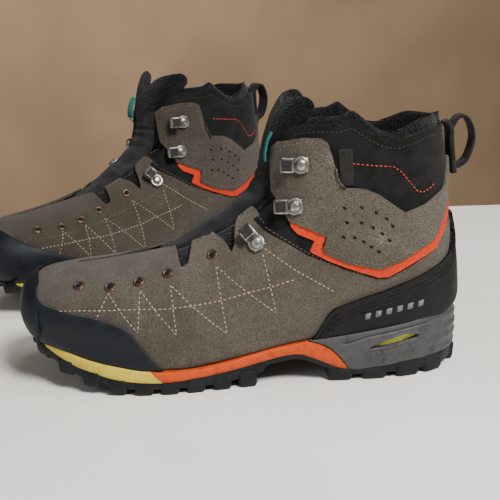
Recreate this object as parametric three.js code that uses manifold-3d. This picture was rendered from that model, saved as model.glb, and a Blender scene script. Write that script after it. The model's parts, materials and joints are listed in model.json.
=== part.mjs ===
// A pair of mountaineering boots: lugged sole unit, suede upper, softshell collar and lacing metal.
// Millimetres, +Z up. A boot's toe points to -X; the left boot's outer side faces -Y.
import * as THREE from 'three';
import { mergeVertices } from 'three/addons/utils/BufferGeometryUtils.js';
import Module from 'manifold-3d';

const wasm = await Module();
wasm.setup();

// ---------------------------------------------------------------- driving dimensions
const SOLE_LENGTH = 305;
const SOLE_WIDTH = 104;
const BOOT_HEIGHT = 192;
const PAIR_OFFSET = { x: -92, y: 223 };
const PAIR_YAW = THREE.MathUtils.degToRad(34);

const GAP = 0.3;
const SUEDE = 1.8;
const RUBBER = 2.0;
const PANEL = 1.8;
const TRIM = 0.9;
const COUNTER = 1.0;
const TAPE = 0.8;
const LINING = 2.4;
const FOOTBED = 5;
const SHANK = 1.2;
const SHANK_WIDTH = 24;
const TONGUE = 6;
const TONGUE_CLEARANCE = 1.6;
const LUG_DEPTH = 4.2;
const LUG_PITCH = 17.5;
const HEEL_LUG_PITCH = 24;
const LUG_GROOVE = 5.5;
const ARCH_SOLE = 3.4;
const EYELET_BORE = 4.2;
const EYELET_WALL = 0.8;
const EYELET_FLANGE = 7.8;
const EYELET_HEIGHT = 0.8;
const HOOK_WIDTH = 9;
const HOOK_PLATE = 1.2;
const HOOK_REACH = 5.4;
const HOOK_LENGTH = 20;
const HOOK_HEAD = 8.5;
const RIVET = 8.8;
const RIVET_HEIGHT = 2;
const WEBBING = 2;
const WEBBING_WIDTH = 12;
const LOOP_NECK = 1.2;
const LOOP_STEPS = 16;
const RING_STEPS = 14;
const RINGS = [0, 1, 2, 3.2, 5, 7, 9, 10.5, 12, 13, 14.5, 16.5, 19];
const LAP = 3;
const TONGUE_BASE = -60;
const SEAT_REACH = 12;
const OUTER = -1;
const INNER = 1;
const COLLAR_START = 11;
const RAND_LEAN = 0.1;
const TONGUE_PROUD = 1.5;
const TONGUE_SPREAD = 33;
const TONGUE_SWEEP = 5;
const CUSHION_HALF = 26;
const WINDOW_REACH = 8;
const TREAD_START = -146;
const TREAD_END = 0;
const HEEL_TREAD_START = 84;
const HEEL_TREAD_END = 140;
const FAR = 140;

// Layers of the upper, as distances outwards from the suede's outer face.
const tapeFace = -SUEDE - GAP;
const liningFace = tapeFace - COUNTER - GAP;
const footbedFace = liningFace - LINING - GAP;
const rubberFace = GAP + RUBBER;
const panelFace = GAP + PANEL;

// The outlines below are drawn on a boot 305 long, 104 wide and 192 high, and stretched to size.
const stretch = new THREE.Vector3(SOLE_LENGTH / 305, SOLE_WIDTH / 104, BOOT_HEIGHT / 192);
const side = (points) => points.map(([x, z]) => [x * stretch.x, z * stretch.z]);
const plan = (points) => points.map(([x, y]) => [x * stretch.x, y * stretch.y]);

// ---------------------------------------------------------------- the last
// Each ring of the upper runs from a point on the front line, over the toe and up the shin, to a
// point on the back line, under the foot and up the heel. Both points lie on the centre plane.
// front x, z | back x, z | outer, inner half width | centre y | fullness front, back | lean
const LAST = [
  [-146, 45, -138, 34, 14, 14, 6, 0.75, 0.75, 0],
  [-150, 57, -130, 27, 30, 30, 6, 0.75, 0.7, 0],
  [-146, 68, -114, 20, 39, 38, 5, 0.85, 0.5, 0.03],
  [-134, 75, -98, 16, 45, 43, 4, 0.95, 0.4, 0.05],
  [-116, 79, -82, 14, 49, 46, 3, 1, 0.36, 0.07],
  [-94, 82, -64, 13, 51, 48, 2, 1.05, 0.34, 0.1],
  [-72, 86, -44, 13, 51, 48, 1, 1.1, 0.34, 0.12],
  [-50, 92, -20, 16, 49, 46, 0, 1.15, 0.34, 0.12],
  [-28, 101, 5, 20, 46, 43, 0, 1.1, 0.36, 0.12],
  [-8, 111, 32, 25, 43, 41, 0, 0.95, 0.38, 0.1],
  [7, 121, 62, 28.5, 41, 40, 0, 0.75, 0.4, 0.06],
  [14, 129, 94, 31, 40, 39, 0, 0.62, 0.44, 0.02],
  [18, 136, 126, 33.5, 40, 39, 0, 0.52, 0.5, 0],
  [20, 142, 149, 47, 40, 39, 0, 0.48, 0.62, 0],
  [21, 148, 151, 70, 39, 38, 0, 0.45, 0.72, -0.02],
  [22, 154, 148, 97, 38, 38, 0, 0.43, 0.8, -0.03],
  [23, 160, 144, 120, 37, 37, 0, 0.42, 0.84, -0.04],
  [25, 168, 143, 142, 37, 37, 0, 0.42, 0.84, -0.04],
  [28, 178, 140, 162, 37, 37, 0, 0.42, 0.84, -0.03],
  [32, 192, 137, 184, 38, 38, 0, 0.42, 0.84, -0.02],
];
const TOP_RING = LAST.length - 1;

// Catmull-Rom interpolation of every column of the last.
function ring(s) {
  const i = Math.min(Math.max(Math.floor(s), 0), TOP_RING - 1);
  const t = THREE.MathUtils.clamp(s, 0, TOP_RING) - i;
  const row = (k) => {
    if (k < 0) return LAST[0].map((v, c) => 2 * v - LAST[1][c]);
    if (k > TOP_RING) return LAST[TOP_RING].map((v, c) => 2 * v - LAST[TOP_RING - 1][c]);
    return LAST[k];
  };
  const [a, b, c, d] = [row(i - 1), row(i), row(i + 1), row(i + 2)];
  return b.map((_, k) => 0.5 * (2 * b[k] + (c[k] - a[k]) * t
    + (2 * a[k] - 5 * b[k] + 4 * c[k] - d[k]) * t * t
    + (3 * b[k] - a[k] - 3 * c[k] + d[k]) * t * t * t));
}

// Point on the last: angle 0 on the front line, 180 degrees on the back line, positive outwards.
function lastPoint(s, angle) {
  const [fx, fz, bx, bz, outer, inner, centre, frontFull, backFull, lean] = ring(s);
  const c = (1 - Math.cos(angle)) / 2;
  const fullness = frontFull + (backFull - frontFull) * c;
  const half = angle >= 0 ? outer : inner;
  const width = half * Math.abs(Math.sin(angle)) ** fullness * (1 + lean * (2 * c - 1));
  const point = new THREE.Vector3(fx + (bx - fx) * c, centre - Math.sign(angle) * width, fz + (bz - fz) * c);
  return point.multiply(stretch);
}

function lastNormal(s, angle) {
  const along = lastPoint(Math.min(s + 0.02, TOP_RING), angle).sub(lastPoint(Math.max(s - 0.02, 0), angle));
  const around = lastPoint(s, angle + 0.03).sub(lastPoint(s, angle - 0.03));
  return around.cross(along).normalize();
}

const skin = (s, angle, offset) => lastPoint(s, angle).addScaledVector(lastNormal(s, angle), offset);

// Ring and angle of the last's outer half under a point of the side view.
function fromSide(x, z) {
  let [low, high] = [0, TOP_RING];
  for (let k = 0; k < 40; k += 1) {
    const middle = (low + high) / 2;
    const [fx, fz, bx, bz] = ring(middle);
    if ((x - fx) * (bz - fz) - (z - fz) * (bx - fx) < 0) low = middle;
    else high = middle;
  }
  const [fx, fz, bx, bz] = ring(low);
  const c = ((x - fx) * (bx - fx) + (z - fz) * (bz - fz)) / ((bx - fx) ** 2 + (bz - fz) ** 2);
  return [low, Math.acos(1 - 2 * THREE.MathUtils.clamp(c, 0, 1))];
}

// ---------------------------------------------------------------- solids
function solid(geometry) {
  const bare = geometry.index ? geometry.toNonIndexed() : geometry;
  bare.deleteAttribute('normal');
  bare.deleteAttribute('uv');
  const merged = mergeVertices(bare, 1e-4);
  return new wasm.Manifold(new wasm.Mesh({
    numProp: 3,
    vertProperties: merged.attributes.position.array,
    triVerts: new Uint32Array(merged.index.array),
  }));
}

function geometryOf(manifold) {
  const { vertProperties, triVerts } = manifold.getMesh();
  const geometry = new THREE.BufferGeometry();
  geometry.setAttribute('position', new THREE.BufferAttribute(vertProperties, 3));
  geometry.setIndex(new THREE.BufferAttribute(triVerts, 1));
  return geometry;
}

const extrusion = (shape, depth) => new THREE.ExtrudeGeometry(shape, { depth, bevelEnabled: false });
const shapeOf = (points) => new THREE.Shape(points.map(([x, y]) => new THREE.Vector2(x, y)));

// A side-view outline carried across the boot from y = low to y = high.
function sidePrism(points, low = -FAR, high = FAR) {
  const geometry = extrusion(shapeOf(points), high - low).rotateX(Math.PI / 2).translate(0, high, 0);
  return solid(geometry);
}

// A plan outline carried up from z = low to z = high.
function planPrism(points, low = -FAR, high = 2 * FAR) {
  return solid(extrusion(shapeOf(points), high - low).translate(0, 0, low));
}

// The whole last, grown by offset, as one closed body from ring first to the top ring.
const bodies = new Map();
function lastBody(offset, first = 0) {
  const key = `${offset}/${first}`;
  if (bodies.has(key)) return bodies.get(key);
  const rings = [first, ...RINGS.filter((s) => s > first + 0.4)];
  const points = [];
  for (const s of rings) {
    for (let k = 0; k < RING_STEPS; k += 1) {
      const angle = Math.PI * (2 * k / RING_STEPS - 1);
      points.push(skin(s, angle, offset));
    }
  }
  const index = [];
  const at = (r, k) => r * RING_STEPS + (k % RING_STEPS);
  for (let r = 0; r + 1 < rings.length; r += 1) {
    for (let k = 0; k < RING_STEPS; k += 1) {
      index.push(at(r, k), at(r, k + 1), at(r + 1, k), at(r + 1, k), at(r, k + 1), at(r + 1, k + 1));
    }
  }
  for (const [r, flip] of [[0, 0], [rings.length - 1, 1]]) {
    const middle = points.length;
    const rim = points.slice(r * RING_STEPS, (r + 1) * RING_STEPS);
    points.push(rim.reduce((sum, p) => sum.add(p), new THREE.Vector3()).divideScalar(RING_STEPS));
    for (let k = 0; k < RING_STEPS; k += 1) {
      index.push(middle, at(r, k + 1 - flip), at(r, k + flip));
    }
  }
  const geometry = new THREE.BufferGeometry().setFromPoints(points);
  geometry.setIndex(index);
  const body = solid(geometry);
  bodies.set(key, body);
  return body;
}

// One layer of the upper, between two distances from the suede's outer face.
const layer = (outer, inner, first = 0) => lastBody(outer, first).subtract(lastBody(inner, first));

// ---------------------------------------------------------------- outlines
const closedCurve = (points, count) => new THREE.CatmullRomCurve3(
  points.map(([x, y]) => new THREE.Vector3(x, y, 0)), true, 'centripetal',
).getPoints(count).slice(0, -1).map((p) => [p.x, p.y]);

const SOLE_PLAN = [
  [-152, 6], [-147, -10], [-138, -23], [-126, -34], [-110, -43], [-90, -49.5], [-65, -52], [-40, -51],
  [-12, -46.5], [20, -41.5], [50, -39.5], [85, -39], [112, -36], [133, -28], [147, -15], [153, 0],
  [147, 15], [133, 28], [112, 36], [85, 38], [50, 37.5], [20, 39], [-12, 43.5], [-40, 48], [-65, 51],
  [-90, 51.5], [-110, 48], [-126, 42], [-138, 33], [-147, 20],
];
const BOARD_PLAN = [
  [-134, 5], [-122, -18], [-100, -32], [-65, -38], [-30, -35], [10, -29], [60, -25], [105, -23],
  [126, -15], [134, 0], [126, 15], [105, 23], [60, 25], [10, 28], [-30, 33], [-65, 37], [-100, 34],
  [-122, 24],
];
const solePlan = plan(closedCurve(SOLE_PLAN, 40));

// Line between outsole and midsole, and the feather line where the upper enters the sole unit.
const SOLE_LINE = [
  [-156, 40], [-147, 36.5], [-132, 28], [-113, 19], [-98, 15], [-83, 10.5], [-57, 8], [-29, 10.5],
  [-12, 12.5], [11, 17], [28, 20.5], [39, 21], [52, 15], [66, 8.5], [77, 7.5], [98, 9.5], [117, 12],
  [160, 12.5],
];
const FEATHER_LINE = [
  [-156, 43], [-132, 34.5], [-113, 28], [-97, 24], [-82, 21.5], [-65, 18], [-47, 17], [-29, 17.5],
  [-11, 20], [11, 25], [41, 30.5], [62, 32], [84, 35], [110, 39], [132, 43], [160, 44],
];
const QUARTER_TOP = [
  [-170, 140], [-42, 140], [-38, 84], [-35, 84], [-32, 98], [-19, 103], [-6, 91], [-3, 108], [8, 121],
  [15, 113], [30, 104], [43, 96], [57, 88.5], [69, 83], [90, 75.5], [97, 75.5], [108, 81], [128, 91],
  [136, 104], [141, 118], [162, 124],
];
const COLLAR_RIM = [
  [-170, 158], [10, 158], [26, 166], [36, 174], [64, 175], [72, 178], [84, 170], [93, 165],
  [102, 163.5], [112, 166], [124, 170], [160, 171],
];
const PANEL_FOOT = [
  [32, 112], [42, 108], [56, 102], [53, 92], [69, 84], [92, 79], [108, 85], [129, 96], [136, 109], [141, 120],
  [160, 128],
];
const PANEL_HEAD = [
  [160, 150], [142, 150], [137, 128], [122, 120], [108, 116], [102, 120], [90, 129], [81, 133], [67, 134],
  [63, 141], [60, 154], [57, 163], [52, 166], [40, 166], [27, 163], [23, 158], [22, 131],
];
const TRIM_FOOT = [
  [33, 108.5], [37, 104], [48, 99.5], [44.5, 92.5], [57, 86], [69, 81], [90, 73.5], [97, 73.5], [109, 79.5],
  [130, 89.5], [138, 102], [143, 116], [160, 123],
];
const RAND_TOP = [
  [-165, 66], [-140, 65], [-122, 60], [-110, 56], [-97, 54.5], [-86, 51.5], [-78, 48.5], [-74, 45.5],
  [-68, 34.5], [-57, 21], [-50, 12], [160, 0],
];
const RAND_END = [[-56, 60], [-56, 0]];
const HEEL_PATCH_TOP = [
  [45, 31], [50, 37], [59, 51], [63, 53], [79, 59], [99, 65], [121, 74], [138, 81], [144, 90], [146, 116],
  [162, 118],
];
const COUNTER_OUTLINE = [[74, 38], [84, 58], [112, 70], [130, 78], [170, 90], [170, 38]];
const HEEL_FRAME_FRONT = [[42, 60], [42, 30.6], [52, 27], [62, 20.5], [70, 13], [77, 5], [77, -5]];
const VAMP_SEAM = [[-36, 130], [-36, 84], [-46, 50], [-58, 5]];
const MIDSOLE_JOINT = [[-63, 30], [-63, 18], [-54, 8], [-54, 0]];
const WINDOW = [[85, 22.5], [98, 28], [110, 31.5], [120, 30], [119, 28], [98, 24]];
const CUSHION = [[86, 16], [118, 16], [118, 29.5], [86, 24]];
const ARCH_LINE = [[12, 17], [28, 20.5], [39, 21], [50, 16], [57, 11]];
const FOOT_LINE = [
  [-160, 45], [-130, 36], [-98, 23.5], [-64, 19], [-20, 22], [32, 31], [94, 37], [126, 39.5], [160, 42],
];
const LOOP_PATH = [
  [145.8, 167], [151, 174], [157.5, 172], [161.5, 160], [158, 146], [152, 140.5], [148.8, 140],
];
const EYELETS = [[-108, 71.3], [-87, 71], [-68, 74], [-48.7, 79], [-19, 90]];
// Hook name, rivet, the way its bend points, and the face it is riveted to.
const HOOKS = [
  ['locking_hook', [10.3, 98], [-8, 10], 0],
  ['lower_hook', [36, 122], [-1, 0], GAP + PANEL],
  ['upper_hook', [40.4, 149], [-1, 0], GAP + PANEL],
];
const STAY_PLAN = [[-116, 17], [-10, 17], [-10, 33], [-116, 33]];
const THROAT_PLAN = [
  [-112, 0], [-100, 3.5], [-80, 8], [-60, 12], [-44, 14], [6, 15], [14, 18], [20, 24], [34, 24],
];

const below = (line, drop = 0) => side([...line.map(([x, z]) => [x, z - drop]), [170, -30], [-170, -30]]);
const above = (line, rise = 0) => side([...line.map(([x, z]) => [x, z + rise]), [170, 260], [-170, 260]]);
const throatPlan = (grow) => {
  const edge = THROAT_PLAN.map(([x, y]) => [x * stretch.x, Math.max(y * stretch.y + grow, 0.01)]);
  return [...edge, ...edge.map(([x, y]) => [x, -y]).reverse()];
};
const throat = (grow) => planPrism(throatPlan(grow), 60 * stretch.z, 260);
const frontOf = (line) => side([[-170, 260], ...line.map(([x, z]) => [x - GAP / 2 - 0.1, z]), [-170, -30]]);
const behind = (line) => side([[170, 260], ...line.map(([x, z]) => [x + GAP / 2 + 0.1, z]), [170, -30]]);

// An outline with every edge moved outwards by grow.
function spread(points, grow) {
  const outline = side(points).map(([x, z]) => new THREE.Vector2(x, z));
  const turn = Math.sign(THREE.ShapeUtils.area(outline));
  const edge = (a, b) => new THREE.Vector2(b.y - a.y, a.x - b.x).normalize().multiplyScalar(turn);
  return outline.map((corner, k) => {
    const before = edge(outline.at(k - 1), corner);
    const after = edge(corner, outline[(k + 1) % outline.length]);
    const move = before.clone().add(after).multiplyScalar(grow / (1 + before.dot(after)));
    return [corner.x + move.x, corner.y + move.y];
  });
}

// ---------------------------------------------------------------- looks
const look = (color, roughness, metalness = 0) => (
  new THREE.MeshStandardMaterial({ color, roughness, metalness }));
const looks = {
  suede: () => look(0x5a5148, 0.95),
  rubber: () => look(0x1c2028, 0.7),
  outsole: () => look(0x16181b, 0.85),
  yellow: () => look(0xb59d35, 0.7),
  orange: () => look(0xe2602a, 0.65),
  frame: () => look(0x55585c, 0.6),
  lime: () => look(0xc9cf35, 0.6),
  steel: () => look(0xb9b6b0, 0.3, 1),
  copper: () => look(0x6e4f3a, 0.4, 1),
  softshell: () => look(0x1d1f25, 0.9),
  terry: () => look(0x121214, 1),
  board: () => look(0xb8a98a, 0.9),
  foam: () => look(0x6f7378, 0.9),
  stiffener: () => look(0xd8d4c8, 0.7),
  webbing: () => look(0x24262a, 0.85),
};

// ---------------------------------------------------------------- sole unit
const solePrism = () => planPrism(solePlan, -30, 120);
const soleBlock = () => sidePrism(below(FEATHER_LINE))
  .intersect(sidePrism(above(SOLE_LINE)))
  .intersect(solePrism());

// Height of the tread's ground line under x: the toe springs up and the rest is flat.
const TOE_SPRING = { start: -62, reach: 94, rise: 36, power: 2.2 };
function ground(x) {
  const lift = Math.max(TOE_SPRING.start - x, 0) / TOE_SPRING.reach;
  return TOE_SPRING.rise * lift ** TOE_SPRING.power;
}

// A groove across the tread, as two corners down and two up, on the underside's outline.
function groove(x) {
  const [from, to] = [x - LUG_GROOVE / 2, x + LUG_GROOVE / 2];
  const taper = LUG_GROOVE / 6;
  return [
    [from, ground(from)], [from + taper, ground(from) + LUG_DEPTH],
    [to - taper, ground(to) + LUG_DEPTH], [to, ground(to)],
  ];
}

function outsole() {
  const underside = [[-156, ground(-156) + 2]];
  for (let x = TREAD_START; x < TREAD_END; x += LUG_PITCH) underside.push(...groove(x));
  underside.push([8, 0]);
  for (const [x, z] of ARCH_LINE) underside.push([x, z - ARCH_SOLE]);
  underside.push([60, 0]);
  for (let x = HEEL_TREAD_START; x < HEEL_TREAD_END; x += HEEL_LUG_PITCH) underside.push(...groove(x));
  underside.push([148, 0], [160, 6]);
  const top = SOLE_LINE.map(([x, z]) => [x, z - GAP]).reverse();
  return sidePrism(side([...underside, ...top])).intersect(solePrism());
}

// Room in the sole unit for the foot, the rubber that laps into it and the shank.
const shankPlan = (grow) => {
  const [toe, heel, half] = [-62 * stretch.x - grow, 92 * stretch.x + grow, SHANK_WIDTH / 2 + grow];
  return planPrism([[toe, -half], [heel, -half], [heel, half], [toe, half]], -FAR, 60 * stretch.z);
};
const shankPocket = () => lastBody(GAP + SHANK + GAP).intersect(shankPlan(GAP));
const rubberPocket = () => lastBody(rubberFace + GAP).intersect(sidePrism(above(FEATHER_LINE, -LAP - GAP)));
const withRoom = (body) => body.subtract(lastBody(GAP)).subtract(shankPocket()).subtract(rubberPocket());

const midsoleToe = () => withRoom(soleBlock().intersect(sidePrism(frontOf(MIDSOLE_JOINT))));
const midsoleArch = () => withRoom(soleBlock()
  .intersect(sidePrism(behind(MIDSOLE_JOINT)))
  .intersect(sidePrism(frontOf(HEEL_FRAME_FRONT))));

// The heel cushion is a block low in the heel frame that shows through a window in each side.
const cushionBlock = (grow) => sidePrism(spread(CUSHION, grow), -CUSHION_HALF - grow, CUSHION_HALF + grow);
const heelFrame = () => withRoom(soleBlock().intersect(sidePrism(behind(HEEL_FRAME_FRONT))))
  .subtract(sidePrism(spread(WINDOW, GAP)))
  .subtract(cushionBlock(GAP));
const heelCushion = () => cushionBlock(0)
  .add(sidePrism(side(WINDOW), -CUSHION_HALF - WINDOW_REACH, CUSHION_HALF + WINDOW_REACH))
  .subtract(lastBody(rubberFace + 2 * GAP))
  .subtract(shankPocket());

const shank = () => layer(GAP + SHANK, GAP).intersect(shankPlan(0));
const boardPlan = (grow) => {
  const outline = BOARD_PLAN.map(([x, y]) => [x + Math.sign(x) * grow, y + Math.sign(y) * grow]);
  return planPrism(plan(closedCurve(outline, 30)), -FAR, 60 * stretch.z);
};
const insoleBoard = () => layer(0, -SUEDE).intersect(boardPlan(-GAP));
const footbed = () => lastBody(footbedFace, 1)
  .intersect(sidePrism(side([...FOOT_LINE.map(([x, z]) => [x, z + FOOTBED]), [170, -30], [-170, -30]])));

// ---------------------------------------------------------------- upper
const half = (points, flank) => (flank === OUTER
  ? sidePrism(points, -FAR, -GAP / 2)
  : sidePrism(points, GAP / 2, FAR));
const EVERYWHERE = side([[-170, -30], [170, -30], [170, 260], [-170, 260]]);

const lowerUpper = () => layer(0, -SUEDE)
  .intersect(sidePrism(below(QUARTER_TOP)))
  .subtract(throat(0))
  .subtract(boardPlan(0))
  .subtract(eyeletHoles());
const vamp = () => lowerUpper().intersect(sidePrism(frontOf(VAMP_SEAM)));
const quarter = (flank) => lowerUpper()
  .intersect(sidePrism(behind(VAMP_SEAM)))
  .intersect(half(EVERYWHERE, flank));

const collar = () => layer(0, -SUEDE)
  .intersect(sidePrism(above(QUARTER_TOP, GAP + 0.1)))
  .intersect(sidePrism(behind([[COLLAR_START, 200], [COLLAR_START, 0]])))
  .intersect(sidePrism(below(COLLAR_RIM)))
  .subtract(throat(0));
const ANKLE_PANEL = [...PANEL_FOOT, ...PANEL_HEAD];
const anklePanel = (flank) => layer(panelFace, GAP)
  .intersect(half(side(ANKLE_PANEL), flank))
  .subtract(throat(0));
const trim = () => layer(GAP + TRIM, GAP)
  .intersect(sidePrism(side([...PANEL_FOOT, ...[...TRIM_FOOT].reverse()])))
  .subtract(sidePrism(spread(ANKLE_PANEL, GAP + 0.1)));
const lining = () => layer(liningFace, liningFace - LINING, 0.5)
  .intersect(sidePrism(below(COLLAR_RIM, 1)))
  .subtract(throat(0).intersect(sidePrism(behind([[TONGUE_BASE - 2, 200], [TONGUE_BASE - 2, 0]]))));
const heelCounter = () => layer(tapeFace, tapeFace - COUNTER).intersect(sidePrism(side(COUNTER_OUTLINE)));

// The toe rand climbs higher on the inner side, so its outline leans across the boot.
const leaning = new THREE.Matrix4().makeShear(0, 0, 0, RAND_LEAN, 0, 0);
const rubberLayer = () => layer(rubberFace, GAP).subtract(boardPlan(0));
const toeRand = () => rubberLayer()
  .intersect(sidePrism(below(RAND_TOP)).transform(leaning.elements))
  .intersect(sidePrism(above(FEATHER_LINE, -LAP)))
  .intersect(sidePrism(frontOf(RAND_END)));
function heelPatch() {
  const foot = FEATHER_LINE.slice(-6).reverse().map(([x, z]) => [x, z - LAP]);
  return rubberLayer().intersect(sidePrism(side([...HEEL_PATCH_TOP, ...foot])));
}

// The tongue tips forward, so it also clears the throat's edges where it stands when it has moved.
function tongue() {
  const body = layer(TONGUE_PROUD, TONGUE_PROUD - TONGUE)
    .intersect(sidePrism(behind([[TONGUE_BASE, 200], [TONGUE_BASE, 0]])));
  const room = throat(-TONGUE_CLEARANCE);
  const low = room.intersect(room.translate([TONGUE_SWEEP, 0, 0]))
    .intersect(sidePrism(side([[-60, 0], [60, 0], [60, 177], [-60, 177]])));
  const top = sidePrism(side([[0, 176.5], [56, 176.5], [56, 200], [0, 200]]), -TONGUE_SPREAD, TONGUE_SPREAD);
  return body.intersect(low.add(top));
}

// ---------------------------------------------------------------- lacing metal
// A frame on the upper at a side-view point: z out of the surface, x along a side-view direction.
function seat([x, z], direction, flank, face, gap = 0) {
  const [s, outerAngle] = fromSide(x, z);
  const angle = -flank * outerAngle;
  const target = new THREE.Mesh(geometryOf(lastBody(face)), new THREE.MeshBasicMaterial());
  const inwards = lastNormal(s, angle).negate();
  const ray = new THREE.Raycaster(skin(s, angle, SEAT_REACH), inwards, 0, 2 * SEAT_REACH);
  const [hit] = ray.intersectObject(target);
  const out = hit.face.normal.clone();
  const ahead = new THREE.Vector3(direction[0], 0, direction[1]);
  ahead.addScaledVector(out, -ahead.dot(out)).normalize();
  const across = new THREE.Vector3().crossVectors(out, ahead);
  return new THREE.Matrix4().makeBasis(ahead, across, out).setPosition(hit.point.addScaledVector(out, gap));
}
const lathe = (profile, segments = 6) => new THREE.LatheGeometry(
  profile.map(([r, z]) => new THREE.Vector2(r, z)), segments,
).rotateX(Math.PI / 2);

const placed = (geometry, frame) => solid(geometry.clone().applyMatrix4(frame));
const barrel = EYELET_BORE / 2 + EYELET_WALL;
const pin = (radius, frame) => placed(lathe([[0, -12], [radius, -12], [radius, 8], [0, 8]]), frame);
const eyeletFrames = (flank) => EYELETS.map((point) => seat(point, [1, 0], flank, 0));
const joined = (solids) => solids.reduce((all, one) => all.add(one));
const holeRadius = barrel + GAP + 0.1;
const eyeletHoles = () => joined([OUTER, INNER].flatMap(eyeletFrames).map((frame) => pin(holeRadius, frame)));

function eyeletStay(flank) {
  const strip = planPrism(plan(STAY_PLAN.map(([x, y]) => [x, y * flank])), 50 * stretch.z, 260);
  const tape = layer(tapeFace, tapeFace - TAPE).intersect(strip);
  const top = GAP + EYELET_HEIGHT;
  const rivet = [[0, tapeFace - TAPE], [barrel, tapeFace - TAPE], [barrel, GAP], [EYELET_FLANGE / 2, GAP],
    [EYELET_FLANGE / 2, top], [0, top]];
  const rivets = joined(eyeletFrames(flank).map((frame) => placed(lathe(rivet), frame)));
  const bores = joined(eyeletFrames(flank).map((frame) => pin(EYELET_BORE / 2, frame)));
  return tape.add(rivets).subtract(bores);
}

// A plate folded over itself: base under the rivet, a bend at the throat side, an open head above.
function hook() {
  const front = 13;
  const [rear, inner] = [front - HOOK_LENGTH, front - HOOK_PLATE];
  const top = HOOK_PLATE + HOOK_REACH;
  const profile = [
    [rear, 0], [front - 1, 0], [front, 1], [front, top - 1], [front - 1, top], [front - HOOK_HEAD, top],
    [front - HOOK_HEAD, top - HOOK_PLATE], [inner, top - HOOK_PLATE], [inner, HOOK_PLATE], [rear, HOOK_PLATE],
  ];
  const plate = extrusion(shapeOf(profile), HOOK_WIDTH).rotateX(Math.PI / 2).translate(0, HOOK_WIDTH / 2, 0);
  const r = RIVET / 2;
  const dome = lathe([
    [0, 0], [r, 0], [r, HOOK_PLATE + RIVET_HEIGHT / 2], [r / 2, HOOK_PLATE + RIVET_HEIGHT],
    [0, HOOK_PLATE + RIVET_HEIGHT],
  ], 8);
  return solid(plate).add(solid(dome));
}

// ---------------------------------------------------------------- pull loop
function loopTab() {
  const outline = side([[120, 138], [160, 138], [160, 168], [120, 168]]);
  const box = sidePrism(outline, -WEBBING_WIDTH / 2, WEBBING_WIDTH / 2);
  return layer(panelFace + GAP + WEBBING, panelFace + GAP).intersect(box);
}
function pullLoop() {
  const points = LOOP_PATH.map(([x, z]) => new THREE.Vector3(x, z, 0));
  const curve = new THREE.CatmullRomCurve3(points, false, 'centripetal');
  const middle = curve.getPoints(LOOP_STEPS);
  const outside = [];
  const inside = [];
  middle.forEach((p, k) => {
    const t = curve.getTangent(k / LOOP_STEPS);
    outside.push([p.x - t.y * WEBBING / 2, p.y + t.x * WEBBING / 2]);
    inside.push([p.x + t.y * WEBBING / 2, p.y - t.x * WEBBING / 2]);
  });
  const strap = sidePrism(side([...outside, ...inside.reverse()]), -WEBBING_WIDTH / 2, WEBBING_WIDTH / 2);
  const near = 150.5 * stretch.x;
  const wide = 155 * stretch.x;
  const w = WEBBING_WIDTH / 2;
  const edge = [[near - 10, LOOP_NECK], [near, LOOP_NECK], [wide, w], [wide + 20, w]];
  const taper = [...edge.map(([x, y]) => [x, -y]), ...edge.reverse()];
  return strap.intersect(planPrism(taper));
}

// ---------------------------------------------------------------- assembly
function named(name, body, material) {
  const mesh = new THREE.Mesh(geometryOf(body), material);
  mesh.name = name;
  return mesh;
}

function boot(prefix) {
  const group = new THREE.Group();
  const put = (name, body, material) => group.add(named(`${prefix}_${name}`, body, material));
  put('outsole', outsole(), looks.outsole());
  put('midsole_toe', midsoleToe(), looks.yellow());
  put('midsole_arch', midsoleArch(), looks.orange());
  put('heel_frame', heelFrame(), looks.frame());
  put('heel_cushion', heelCushion(), looks.lime());
  put('shank', shank(), looks.steel());
  put('insole_board', insoleBoard(), looks.board());
  put('footbed', footbed(), looks.foam());
  put('toe_rand', toeRand(), looks.rubber());
  put('heel_rand', heelPatch(), looks.rubber());
  put('heel_counter', heelCounter(), looks.stiffener());
  put('vamp', vamp(), looks.suede());
  put('ankle_trim', trim(), looks.orange());
  put('collar', collar(), looks.softshell());
  put('lining', lining(), looks.terry());
  put('tongue', tongue(), looks.softshell());
  put('loop_tab', loopTab(), looks.webbing());
  put('pull_loop', pullLoop(), looks.webbing());
  for (const [name, flank] of [['outer', OUTER], ['inner', INNER]]) {
    put(`quarter_${name}`, quarter(flank), looks.suede());
    put(`ankle_panel_${name}`, anklePanel(flank), looks.suede());
    put(`eyelet_stay_${name}`, eyeletStay(flank), looks.copper());
    for (const [kind, point, direction, face] of HOOKS) {
      const mesh = named(`${prefix}_${kind}_${name}`, hook(), looks.steel());
      mesh.applyMatrix4(seat(point, direction, flank, face, 2 * GAP));
      group.add(mesh);
    }
  }
  return group;
}

const left = boot('left');
const right = new THREE.Group();
const turned = boot('right');
turned.scale.y = -1;
right.add(turned);
right.rotation.z = PAIR_YAW;
right.position.set(PAIR_OFFSET.x, PAIR_OFFSET.y, 0);

const pair = new THREE.Group();
pair.add(left, right);
const box = new THREE.Box3().setFromObject(pair, true);
pair.position.set(-(box.min.x + box.max.x) / 2, -(box.min.y + box.max.y) / 2, -box.min.z);

export default pair;
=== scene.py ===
"""A pair of suede mountaineering boots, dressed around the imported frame.

Shapes are worked out in millimetres in a boot's own space: toe towards -X, outer side towards -Y,
floor at z = 0. Boot.place turns and mirrors them into the shared frame, in metres.
"""
import json
import math

import bmesh
import bpy
import numpy as np
from mathutils import Matrix, Vector


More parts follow.
